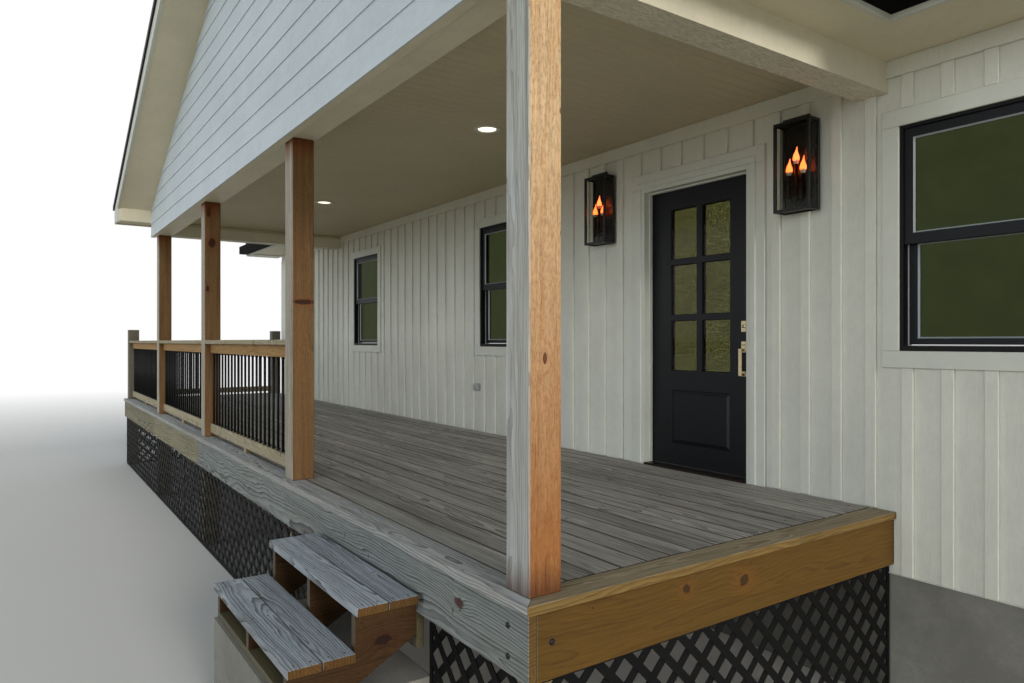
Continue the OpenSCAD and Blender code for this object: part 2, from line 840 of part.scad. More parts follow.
deck_boards();
deck_border();
deck_fascia();
deck_frame();
deck_piers();
lattice_front_1();
lattice_front_2();
lattice_front_3();
lattice_left();
lattice_right();
step_stringers();
step_tread_lower();
step_tread_upper();
step_plates();
step_footing();
post_1();
post_2();
post_3();
post_4();
newel_corner();
newel_wall();
rail_front_1();
rail_front_2();
rail_front_3();
rail_left();
beam_front();
beam_left();
beam_right();
ceiling();
soffits();
gable_wall();
house_gable();
roof_left();
roof_right();
rake_boards();
eave_fascias();
house_roof_left();
house_roof_right();
house_rakes();
gutters();
wall_left();
wall_over_door();
wall_right();
foundation_wall();
door_frame();
door();
door_glass();
door_handle();
door_hinges();
window_frames();
window_glass();
casings();
wall_lanterns();
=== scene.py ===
import math
import random

import bmesh
import bpy
from bpy.props import FloatProperty, FloatVectorProperty, PointerProperty
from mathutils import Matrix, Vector


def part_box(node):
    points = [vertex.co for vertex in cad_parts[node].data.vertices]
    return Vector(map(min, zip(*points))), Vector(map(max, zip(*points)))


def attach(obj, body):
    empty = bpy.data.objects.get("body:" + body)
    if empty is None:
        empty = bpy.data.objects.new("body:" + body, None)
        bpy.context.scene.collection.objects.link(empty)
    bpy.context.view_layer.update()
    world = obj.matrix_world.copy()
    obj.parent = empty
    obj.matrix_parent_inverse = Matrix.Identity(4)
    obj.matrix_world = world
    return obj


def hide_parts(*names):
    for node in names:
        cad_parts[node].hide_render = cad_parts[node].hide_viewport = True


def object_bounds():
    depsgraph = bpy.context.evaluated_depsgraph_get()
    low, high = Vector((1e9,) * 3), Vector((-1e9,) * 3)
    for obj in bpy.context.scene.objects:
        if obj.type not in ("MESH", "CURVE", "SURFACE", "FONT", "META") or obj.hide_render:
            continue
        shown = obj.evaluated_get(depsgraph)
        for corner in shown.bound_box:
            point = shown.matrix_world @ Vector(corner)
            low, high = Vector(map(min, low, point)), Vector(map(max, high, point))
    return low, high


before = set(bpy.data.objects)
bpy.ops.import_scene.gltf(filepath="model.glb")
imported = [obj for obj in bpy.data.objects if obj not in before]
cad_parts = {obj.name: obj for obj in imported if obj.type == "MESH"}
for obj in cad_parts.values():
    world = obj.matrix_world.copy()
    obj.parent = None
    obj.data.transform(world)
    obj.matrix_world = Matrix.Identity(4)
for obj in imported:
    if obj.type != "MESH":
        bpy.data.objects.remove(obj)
CAD_BOX = [list(corner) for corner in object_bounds()]

bl_info = {
    "name": "Front Porch",
    "version": (1, 0, 0),
    "blender": (4, 5, 0),
    "location": "View3D > Sidebar > Porch",
    "description": "Dresses the packed frame of a front porch with its boards, trim and finishes",
    "category": "Object",
}

# All places below are in metres from the near front corner of the deck's top.
CORNER = Vector((
    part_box("deck_border")[1].x,
    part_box("deck_border")[0].y,
    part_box("deck_border")[1].z,
))
X, Y, Z = 0, 1, 2

# Sizes and places that are no settings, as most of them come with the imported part
LUMBER_T = 0.038
RAIL_H = 0.089
SEAM = 0.0015
JOIST_PITCH = 0.61
WINDOW_W = 0.810
WINDOW_CASING_W = 0.092
MIDDLE_WINDOW_X = -3.855
DOOR_CASING_W = 0.110
SLOPE = math.tan(math.radians(22.64))


def span(node):
    """Lowest and highest corner of a node, from the deck's corner."""
    low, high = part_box(node)
    return low - CORNER, high - CORNER


# Sizes and colours that a user may change


def length(name, default, description):
    """A size in metres."""
    return FloatProperty(name=name, default=default, min=0.0, unit="LENGTH",
                         precision=4, description=description)


def colour(name, default, description):
    """A colour as it looks on screen."""
    return FloatVectorProperty(name=name, default=default, size=3, min=0.0, max=1.0,
                               subtype="COLOR_GAMMA", description=description)


class PorchDeckSizes(bpy.types.PropertyGroup):
    """Boards of the deck, its skirt and its steps"""
    board_w: length("Board width", 0.140, "Width of a board in the border")
    gap: length("Board gap", 0.0042, "Gap between two deck boards")
    ease: length("Eased edge", 0.004, "Rounding on the edges of a deck board")
    slat_w: length("Slat width", 0.038, "Width of a lattice slat")
    slat_pitch: length("Slat spacing", 0.108, "Distance from slat to slat, square to them")
    lattice_edge: length("Lattice edge", 0.019, "Width of the strip round a lattice panel")
    bolt_d: length("Bolt head", 0.020, "Diameter of a bolt head in the fascia")


class PorchRailSizes(bpy.types.PropertyGroup):
    """Posts and railing"""
    post_ease: length("Post edge", 0.005, "Rounding on the edges of a post")
    baluster_d: length("Baluster", 0.019, "Diameter of a baluster")
    baluster_pitch: length("Baluster spacing", 0.115, "Distance from baluster to baluster")


class PorchWallSizes(bpy.types.PropertyGroup):
    """Boards and trim on the house wall"""
    batten_w: length("Batten width", 0.064, "Width of a batten")
    batten_t: length("Batten thickness", 0.019, "Thickness of a batten")
    batten_pitch: length("Batten spacing", 0.2032, "Distance from batten to batten")
    batten_start: length("First batten", 0.032, "Left edge of the batten beside the deck's end")
    frieze_z: length("Frieze bottom", 2.375, "Height of the frieze's lower edge over the deck")
    casing_t: length("Casing thickness", 0.022, "Thickness of a casing board")


class PorchRoofSizes(bpy.types.PropertyGroup):
    """Siding of the gable, shingles and ceiling"""
    lap: length("Siding exposure", 0.167, "Height of a siding board that shows")
    course: length("Shingle exposure", 0.143, "Length of a shingle that shows")
    tab: length("Shingle tab", 0.305, "Width of a shingle tab")
    plank: length("Ceiling plank", 0.089, "Width of a ceiling plank")


class PorchColours(bpy.types.PropertyGroup):
    """Colours of the finishes"""
    wall: colour("Wall", (0.835, 0.84, 0.80), "Paint on the wall")
    trim: colour("Trim", (0.80, 0.81, 0.775), "Paint on the trim boards")
    beam: colour("Beams", (0.86, 0.84, 0.76), "Paint on the beams")
    # The siding's cool blue tint is painted skylight over white paint
    siding: colour("Siding", (0.785, 0.83, 0.86), "Paint on the gable siding")
    # The shade under the porch roof is painted into the ceiling: its paint is darker and more
    # olive than the beams'
    ceiling: colour("Ceiling", (0.755, 0.715, 0.60), "Paint on the ceiling")
    soffit: colour("Soffit", (0.86, 0.83, 0.735), "Paint under the eaves")
    door: colour("Door", (0.034, 0.047, 0.062), "Paint on the door")
    black: colour("Black metal", (0.020, 0.020, 0.021), "Paint on metal parts")
    brass: colour("Brass", (0.78, 0.72, 0.58), "Handle set")


class PorchStageSizes(bpy.types.PropertyGroup):
    """Camera and light"""
    lens: FloatProperty(name="Lens", default=25.31, min=1.0, unit="CAMERA",
                        description="Focal length on a 36 mm sensor")
    sky: FloatProperty(name="Soft light", default=0.38, min=0.0,
                       description="Strength of the even light")
    key: FloatProperty(name="Side light", default=1.85, min=0.0,
                       description="Strength of the wide lamp at the right")
    fill: FloatProperty(name="Front light", default=1.32, min=0.0,
                        description="Strength of the wide lamp at the street")


# Shader nodes and groups


def linear(rgb):
    """A colour as it looks on screen, turned into the numbers that a socket takes."""
    return [c / 12.92 if c <= 0.04045 else ((c + 0.055) / 1.055) ** 2.4 for c in rgb] + [1.0]


def shade(rgb, factor):
    """A lighter or darker shade of a colour."""
    return [factor * c for c in rgb]


class Nodes:
    """Places and joins the nodes of one material, group or world."""

    def __init__(self, tree):
        self.tree = tree

    def put(self, kind, inputs=None, **settings):
        """A new node with its settings and inputs."""
        node = self.tree.nodes.new(kind)
        for key, value in settings.items():
            setattr(node, key, value)
        self.feed_all(node.inputs, inputs or {})
        return node

    def feed(self, socket, value):
        """Joins another socket to this one, or sets a plain value on it."""
        if isinstance(value, bpy.types.NodeSocket):
            self.tree.links.new(value, socket)
        else:
            socket.default_value = value

    def feed_all(self, sockets, values):
        for key, value in values.items():
            self.feed(sockets[key], value)

    def math(self, operation, a, b=0.0, c=0.0):
        node = self.put("ShaderNodeMath", operation=operation)
        for socket, value in zip(node.inputs, (a, b, c)):
            self.feed(socket, value)
        return node.outputs[0]

    def times(self, a, b):
        return self.math("MULTIPLY", a, b)

    def plus(self, a, b):
        return self.math("ADD", a, b)

    def minus(self, a, b):
        return self.math("SUBTRACT", a, b)

    def vector(self, operation, values, out="Vector"):
        inputs = dict(enumerate(values))
        return self.put("ShaderNodeVectorMath", inputs, operation=operation).outputs[out]

    def scaled(self, vector, factors):
        return self.vector("MULTIPLY", (vector, factors))

    def parts(self, vector):
        """The X, Y and Z of a vector or colour."""
        return self.put("ShaderNodeSeparateXYZ", {0: vector}).outputs

    def place(self):
        return self.put("ShaderNodeTexCoord").outputs["Object"]

    def facing(self):
        return self.parts(self.put("ShaderNodeNewGeometry").outputs["Normal"])

    def attribute(self, name, out="Vector"):
        return self.put("ShaderNodeAttribute", attribute_name=name).outputs[out]

    def noise(self, vector, factors=(1, 1, 1), detail=2.0, rough=0.5, out="Fac"):
        node = self.put("ShaderNodeTexNoise", {
            "Vector": self.scaled(vector, factors), "Scale": 1.0, "Detail": detail,
            "Roughness": rough})
        return node.outputs[out]

    def cells(self, vector, scale, **settings):
        return self.put("ShaderNodeTexVoronoi", {"Vector": vector, "Scale": scale},
                        **settings).outputs

    def mix(self, factor, a, b, blend="MIX"):
        node = self.put("ShaderNodeMix", data_type="RGBA", blend_type=blend)
        self.feed_all(node.inputs, {0: factor, 6: a, 7: b})
        return node.outputs[2]

    def stain(self, base, share, rgb):
        """The base colour with a share of another colour, as it looks on screen, over it."""
        return self.mix(share, base, linear(rgb))

    def spread(self, value, low, high, out_low=0.0, out_high=1.0):
        node = self.put("ShaderNodeMapRange", {
            "Value": value, "From Min": low, "From Max": high, "To Min": out_low,
            "To Max": out_high}, clamp=True)
        return node.outputs[0]


def new_group(name, ins, outs):
    """An empty group. ins gives each input's own value, which is one number or three, and
    outs names the outputs."""
    group = bpy.data.node_groups.new(name, "ShaderNodeTree")
    for label, value in ins.items():
        kind = "NodeSocketFloat" if isinstance(value, float) else "NodeSocketVector"
        socket = group.interface.new_socket(label, in_out="INPUT", socket_type=kind)
        socket.default_value = value
    for label in outs:
        group.interface.new_socket(label, in_out="OUTPUT", socket_type="NodeSocketFloat")
    n = Nodes(group)
    return group, n, n.put("NodeGroupInput").outputs, n.put("NodeGroupOutput").inputs


def timber_group():
    """Growth rings, fibres and knots of sawn timber. Position runs along the board in X."""
    group, n, given, out = new_group(
        "timber_grain",
        {"Position": (0, 0, 0), "Ring Width": 0.006, "Wander": 0.02, "Knot Share": 0.2,
         "Knot Size": 0.06, "Set Knot": 10.0},
        ("Ring", "Fibre", "Streak", "Check", "Knot", "Halo", "Height"))
    at = given["Position"]
    part = n.parts(at)

    # The log's heart drifts slowly along the board and bends a little
    drift = n.parts(n.noise(at, (0.8, 3.5, 3.5), out="Color"))
    bend = n.parts(n.noise(at, (3.6, 11.0, 11.0), out="Color"))
    side, deep = [
        n.plus(part[k + 1], n.plus(n.times(n.minus(drift[k], 0.5), given["Wander"]),
                                   n.times(n.minus(bend[k], 0.5), 0.022)))
        for k in (0, 1)]

    # Knots: some cells of a coarse pattern, and those with places of their own
    cells = n.put("ShaderNodeTexVoronoi", {"Vector": at, "Scale": 4.6, "Randomness": 0.9},
                  voronoi_dimensions="2D")
    cast = n.parts(cells.outputs["Color"])
    chosen = n.math("LESS_THAN", cast[0], given["Knot Share"])
    reach = n.times(given["Knot Size"], n.math("MULTIPLY_ADD", cast[1], 0.9, 0.5))
    rough_edge = n.times(n.noise(at, (34.0, 60.0, 60.0)), 0.9)
    ratio = n.math("MULTIPLY_ADD", n.minus(1.0, chosen), 10.0,
                   n.math("DIVIDE", cells.outputs["Distance"], reach))
    ratio = n.plus(n.math("MINIMUM", ratio, given["Set Knot"]), n.minus(rough_edge, 0.45))
    inner = n.times(n.math("FRACT", n.times(ratio, 3.2)), 0.25)
    knot = n.times(n.spread(ratio, 1.10, 0.85), n.minus(1.0, inner))
    halo = n.spread(ratio, 3.2, 0.9)
    swirl = n.math("POWER", n.spread(ratio, 5.0, 0.0), 2.0)

    # Rings: the distance from the heart in ring widths, pushed aside round the knots
    radius = n.math("SQRT", n.plus(n.times(side, side), n.times(deep, deep)))
    wobble = n.noise(at, (4.0, 60.0, 60.0))
    phase = n.plus(n.math("DIVIDE", radius, given["Ring Width"]),
                   n.plus(n.times(swirl, 3.2), n.times(wobble, 0.55)))
    year = n.put("ShaderNodeTexWhiteNoise", {"W": n.math("FLOOR", phase)},
                 noise_dimensions="1D").outputs["Value"]
    ring = n.times(n.math("POWER", n.math("FRACT", phase), 2.2),
                   n.spread(year, 0.0, 1.0, 0.45, 1.0))

    fibre = n.noise(at, (7.0, 240.0, 240.0), 3.0, 0.6)
    streak = n.noise(at, (0.9, 30.0, 30.0), 3.0, 0.55)
    check = n.spread(n.noise(at, (5.0, 190.0, 190.0)), 0.66, 0.74)
    height = n.plus(n.times(ring, 0.5), n.times(fibre, 0.7))
    height = n.minus(height, n.times(n.plus(knot, check), 0.5))
    n.feed_all(out, {"Ring": ring, "Fibre": fibre, "Streak": streak, "Check": check,
                     "Knot": knot, "Halo": halo, "Height": height})
    return group


def blotch_group():
    """Uneven patches of dirt, fading or damp."""
    group, n, given, out = new_group(
        "weather_patches", {"Position": (0, 0, 0), "Scale": 3.0}, ("Mask", "Fine"))
    at = n.put("ShaderNodeVectorMath", {0: given["Position"], "Scale": given["Scale"]},
               operation="SCALE").outputs[0]
    wide = n.noise(at, (1, 1, 1), 4.0, 0.6)
    fine = n.noise(at, (9, 9, 9), 4.0, 0.65)
    mask = n.spread(n.math("MULTIPLY_ADD", fine, 0.25, wide), 0.50, 0.78)
    n.feed_all(out, {"Mask": mask, "Fine": fine})
    return group


def emboss_group():
    """The upright wood grain that is pressed into painted siding."""
    group, n, given, out = new_group(
        "pressed_grain", {"Position": (0, 0, 0), "Along": (30, 30, 2)}, ("Height", "Groove"))
    at = n.scaled(given["Position"], given["Along"])
    bend = n.noise(at, (0.5, 0.5, 0.5), 1.0, out="Color")
    bent = n.vector("ADD", (at, n.scaled(bend, (0.8, 0.8, 0.8))))
    lines = n.noise(bent, (1, 1, 1), 4.0, 0.6)
    folds = n.math("ABSOLUTE", n.minus(n.math("FRACT", n.times(lines, 7.0)), 0.5))
    groove = n.spread(folds, 0.20, 0.02)
    n.feed_all(out, {"Height": n.math("MULTIPLY_ADD", groove, -0.7, lines), "Groove": groove})
    return group


GROUPS = {}
FINISHES = {}


def shared(n, maker, inputs):
    """Places a shader group, which is made when it is first asked for."""
    if maker not in GROUPS:
        GROUPS[maker] = maker()
    return n.put("ShaderNodeGroup", inputs, node_tree=GROUPS[maker]).outputs


def weather(n, at, scale):
    """Weathered patches over a finish. scale is how many there are to a metre, about."""
    return shared(n, blotch_group, {"Position": at, "Scale": scale})


# Finishes


def new_finish(name):
    """An empty finish with its shader, kept under its name."""
    material = bpy.data.materials.new(name)
    material.use_nodes = True
    material.node_tree.nodes.clear()
    n = Nodes(material.node_tree)
    shader = n.put("ShaderNodeBsdfPrincipled")
    n.put("ShaderNodeOutputMaterial", {0: shader.outputs[0]})
    FINISHES[name] = material
    return n, shader


def bump(n, shader, height, strength, distance=0.002):
    """Relief of a finish. distance is how deep a full step of height is, in metres."""
    node = n.put("ShaderNodeBump", {"Strength": strength, "Distance": distance,
                                    "Height": height})
    n.feed(shader.inputs["Normal"], node.outputs[0])


# Names of the shader's sockets that coat() sets to one value
PLAIN = {
    "shine": "Specular IOR Level",
    "metallic": "Metallic",
    "clear": "Transmission Weight",
    "ior": "IOR",
    "glow": "Emission Strength",
}


def coat(n, shader, base, rough, **plain):
    """Colour and roughness of a shader, and the values that are the same all over it."""
    n.feed_all(shader.inputs, {"Base Color": base, "Roughness": rough})
    for key, value in plain.items():
        shader.inputs[PLAIN[key]].default_value = value


# Colours of the marks on timber, and of the painted shade in its cracks and along its board gaps
CRACK = (0.10, 0.085, 0.07)
SPLASH = (0.30, 0.16, 0.09)
DOT = (0.13, 0.10, 0.08)
GAP_SHADE_AND_GRIME = (0.15, 0.13, 0.11)


def knot_distance(n, knots):
    """How far the nearest of some knots is, in knot sizes. A knot is a place from the deck's
    corner and its half size along X, Y and Z."""
    at = n.place()
    nearest = 10.0
    for centre, size in knots:
        away = n.vector("SUBTRACT", (at, Vector(centre) + CORNER))
        away = n.scaled(away, [1 / v for v in size])
        nearest = n.math("MINIMUM", n.vector("LENGTH", (away,), "Value"), nearest)
    return nearest


def timber_finish(name, fresh, worn, street=0.0, top=0.0, even=0.0, ring=0.008, wander=0.04,
                  knots=0.2, knot_size=0.05, rough=0.74, line=0.8, streak=0.4, relief=0.4,
                  knot_colour=(0.24, 0.15, 0.10), halo_colour=None, gap_shade_and_grime=0.0, foot=None,
                  head=None, mottle=0.0, marks=0.0, mark_scale=22.0, set_knots=(), order=None):
    """Sawn timber. fresh and worn are the light and dark wood of its rings, and street, top
    and even say how far the street side, the top and the whole have weathered to worn, a bluish
    worn being partly painted skylight.
    foot is the colour of a post towards its base and head the darker colour at its top. mottle
    adds rough saturated patches and marks small dark dots. grime darkens the top edges beside
    the board gaps, partly as dirt and partly as painted shade. set_knots have their own places.
    order names the axes along, across and into a node that has no grain of its own."""
    n, shader = new_finish(name)
    facing = n.facing()
    if order:
        axes = n.parts(n.place())
        at = n.put("ShaderNodeCombineXYZ", {i: axes[a] for i, a in enumerate(order)})
        at = at.outputs[0]
        tone = 0.6
    else:
        at = n.attribute("grain")
        tone = n.attribute("tone", "Fac")
        place = n.parts(n.attribute("place"))
        half = n.parts(n.attribute("half"))
    grain = shared(n, timber_group, {
        "Position": at, "Ring Width": ring, "Wander": wander, "Knot Share": knots,
        "Knot Size": knot_size, "Set Knot": knot_distance(n, set_knots)})
    patch = weather(n, n.scaled(at, (0.35, 1, 1)), 5.0)
    dark_line = n.times(grain["Ring"], line)
    streaks = n.times(n.spread(grain["Streak"], 0.45, 0.75), streak)

    def wood(light, dark):
        """Light wood with dark rings and streaks."""
        return n.stain(n.stain(linear(light), dark_line, dark), streaks, dark)

    # The fresh wood
    base = wood(*fresh)
    if halo_colour:
        base = n.stain(base, n.times(grain["Halo"], 0.45), halo_colour)
    if foot:
        up = n.plus(place[0], half[0])
        base = n.mix(n.spread(up, 1.70, 0.20, 0.0, 0.88), base,
                     n.stain(linear(foot), dark_line, shade(foot, 0.72)))
    if mottle:
        rough_spots = n.noise(at, (40, 130, 130), 4.0, 0.75)
        base = n.stain(base, n.times(n.spread(rough_spots, 0.46, 0.62), mottle),
                       [c ** 1.5 for c in (foot or fresh[1])])

    # Weathered wood on the faces that look to the street and up; where worn is bluish, that blue
    # is painted skylight
    share = n.math("MAXIMUM", n.times(facing[Y], -street), n.times(facing[Z], top))
    share = n.math("MAXIMUM", share, even)
    share = n.times(share, n.spread(patch["Mask"], 0.0, 1.0, 0.86, 1.0))
    base = n.mix(share, base, wood(*worn))

    # Fibres, cracks, knots, marks of use and a darker top, with dirt and painted shade at the
    # board gaps
    base = n.stain(base, n.spread(grain["Fibre"], 0.35, 0.70, 0.0, 0.28), shade(worn[1], 0.6))
    # Painted shade in the cracks: they are darkened to nearly black
    base = n.stain(base, n.times(grain["Check"], 0.55), CRACK)
    base = n.stain(base, grain["Knot"], knot_colour)
    if foot:
        splash = n.math("MULTIPLY_ADD", grain["Streak"], -0.16, up)
        base = n.stain(base, n.spread(splash, 0.05, -0.07, 0.0, 0.75), SPLASH)
    # Darker towards the top of the post
    if head:
        down = n.minus(half[0], place[0])
        stain = n.math("MULTIPLY_ADD", grain["Streak"], -0.22, down)
        base = n.stain(base, n.spread(stain, 0.06, -0.10, 0.0, 0.85), head)
    if marks:
        dots = n.cells(n.scaled(at, (1, 0.35, 0.35)), mark_scale, voronoi_dimensions="2D")
        dot = n.times(n.spread(dots["Distance"], 0.14, 0.08),
                      n.math("LESS_THAN", n.parts(dots["Color"])[0], marks))
        base = n.stain(base, n.times(dot, 0.8), DOT)
    # Dirt and painted shade: the top edges beside the board gaps are darkened so that the gaps
    # read dark
    if gap_shade_and_grime:
        edge = n.math("MINIMUM", *(n.minus(half[k], n.math("ABSOLUTE", place[k]))
                                   for k in (1, 0)))
        edge = n.math("MULTIPLY_ADD", grain["Streak"], -0.006, edge)
        dirt = n.times(n.spread(edge, 0.0025, -0.001), n.spread(facing[Z], 0.2, 0.6))
        base = n.stain(base, n.times(dirt, gap_shade_and_grime), GAP_SHADE_AND_GRIME)

    # Each board's own shade
    level = n.spread(tone, 0.0, 1.0, 0.80, 1.08)
    level = n.put("ShaderNodeCombineXYZ", {0: level, 1: level, 2: level}).outputs[0]
    coat(n, shader, n.mix(1.0, base, level, "MULTIPLY"),
         n.spread(grain["Fibre"], 0.3, 0.8, rough - 0.1, rough + 0.12), shine=0.18)
    bump(n, shader, grain["Height"], relief, 0.0015)


def paint_finish(name, rgb, rough=0.5, along=None, relief=0.25, dirt=0.12, dirt_colour=None,
                 shine=0.35, under=0.09):
    """Paint on boards: faint unevenness, dust, and pressed grain where there is some, with
    painted shade in its grooves.
    under is how strongly that painted shade darkens the grooves on faces that look down."""
    n, shader = new_finish(name)
    at = n.place()
    patch = weather(n, at, 2.2)
    base = n.stain(linear(rgb), n.times(patch["Mask"], dirt * 1.6),
                   dirt_colour or shade(rgb, 0.80))
    base = n.stain(base, n.spread(patch["Fine"], 0.4, 0.8, 0.0, dirt), shade(rgb, 0.9))
    if along:
        grain = shared(n, emboss_group, {"Position": at, "Along": along})
        # Painted shade in the grooves of the pressed grain, deeper on faces that look down
        depth = n.spread(n.facing()[Z], -0.4, -0.9, 0.09, under)
        base = n.stain(base, n.times(grain["Groove"], depth), shade(rgb, 0.70))
        bump(n, shader, grain["Height"], relief, 0.002)
    else:
        brush = n.noise(at, (60, 60, 60), 3.0, 0.6)
        bump(n, shader, brush, relief * 0.25, 0.001)
    coat(n, shader, base, n.spread(patch["Fine"], 0.3, 0.8, rough - 0.05, rough + 0.12),
         shine=shine)


def metal_finish(name, rgb, rough, metallic, specks=0.25, shine=0.5):
    """Painted or plain metal with dust and small wear."""
    n, shader = new_finish(name)
    at = n.place()
    patch = weather(n, at, 9.0)
    worn = [min(1.0, c + 0.05 + 0.15 * c) for c in rgb]
    base = n.stain(linear(rgb), n.times(patch["Mask"], specks), worn)
    coat(n, shader, base, n.spread(patch["Fine"], 0.3, 0.8, rough - 0.06, rough + 0.12),
         metallic=metallic, shine=shine)
    bump(n, shader, n.noise(at, (240, 240, 240)), 0.06, 0.0006)


def stone_finish(name, rgb):
    """Cast concrete with pores, grit and damp patches."""
    n, shader = new_finish(name)
    at = n.place()
    grit = n.noise(at, (60, 60, 60), 5.0, 0.7)
    pit = n.spread(n.cells(at, 55.0)["Distance"], 0.16, 0.05)
    base = n.stain(linear(rgb), n.times(weather(n, at, 2.5)["Mask"], 0.6), shade(rgb, 0.72))
    base = n.stain(base, n.spread(grit, 0.35, 0.75, 0.0, 0.4), shade(rgb, 0.82))
    # Painted shade in the pores: their middles are darkened
    base = n.stain(base, n.times(pit, 0.5), shade(rgb, 0.45))
    coat(n, shader, base, n.spread(grit, 0.2, 0.9, 0.75, 0.98))
    bump(n, shader, n.minus(grit, n.times(pit, 0.8)), 0.5, 0.002)


def shingle_finish(name, rgb):
    """Asphalt shingle: mineral grit in several shades, one tone for each tab."""
    n, shader = new_finish(name)
    at = n.place()
    grit = n.parts(n.cells(at, 520.0)["Color"])[0]
    base = n.stain(linear(shade(rgb, 0.65)), n.spread(n.attribute("tone", "Fac"), 0.0, 1.0),
                   shade(rgb, 1.5))
    base = n.stain(base, n.times(grit, 0.5), shade(rgb, 2.1))
    base = n.stain(base, n.times(weather(n, at, 3.0)["Mask"], 0.3), shade(rgb, 0.5))
    coat(n, shader, base, n.spread(grit, 0.0, 1.0, 0.8, 0.98))
    bump(n, shader, grit, 0.5, 0.001)


def glass_finish(name, tint, rough, ripple, scale, ior, seeds=0.0):
    """Glass with a slight body colour and an uneven surface. seeds is how strongly the small
    bubbles of seeded glass darken it."""
    n, shader = new_finish(name)
    at = n.place()
    smear = weather(n, at, 6.0)
    base = n.stain(linear(tint), n.times(smear["Mask"], 0.15),
                   [min(1.0, 1.3 * c + 0.02) for c in tint])
    if seeds:
        pattern = n.noise(at, (75, 75, 75), 4.0, 0.7)
        base = n.stain(base, n.times(n.spread(pattern, 0.44, 0.56), seeds), shade(tint, 0.62))
    coat(n, shader, base, n.spread(smear["Fine"], 0.3, 0.9, rough, rough + 0.05),
         clear=1.0, ior=ior)
    bump(n, shader, n.noise(at, (scale, scale, scale)), ripple, 0.002)


def glow_finish(name, low, high, strength):
    """A lit surface whose colour changes from its foot to its tip."""
    n, shader = new_finish(name)
    rise = n.parts(n.put("ShaderNodeTexCoord").outputs["Generated"])[2]
    tint = n.stain(linear(low), rise, high)
    coat(n, shader, tint, 0.4, glow=strength)
    n.feed(shader.inputs["Emission Color"], tint)


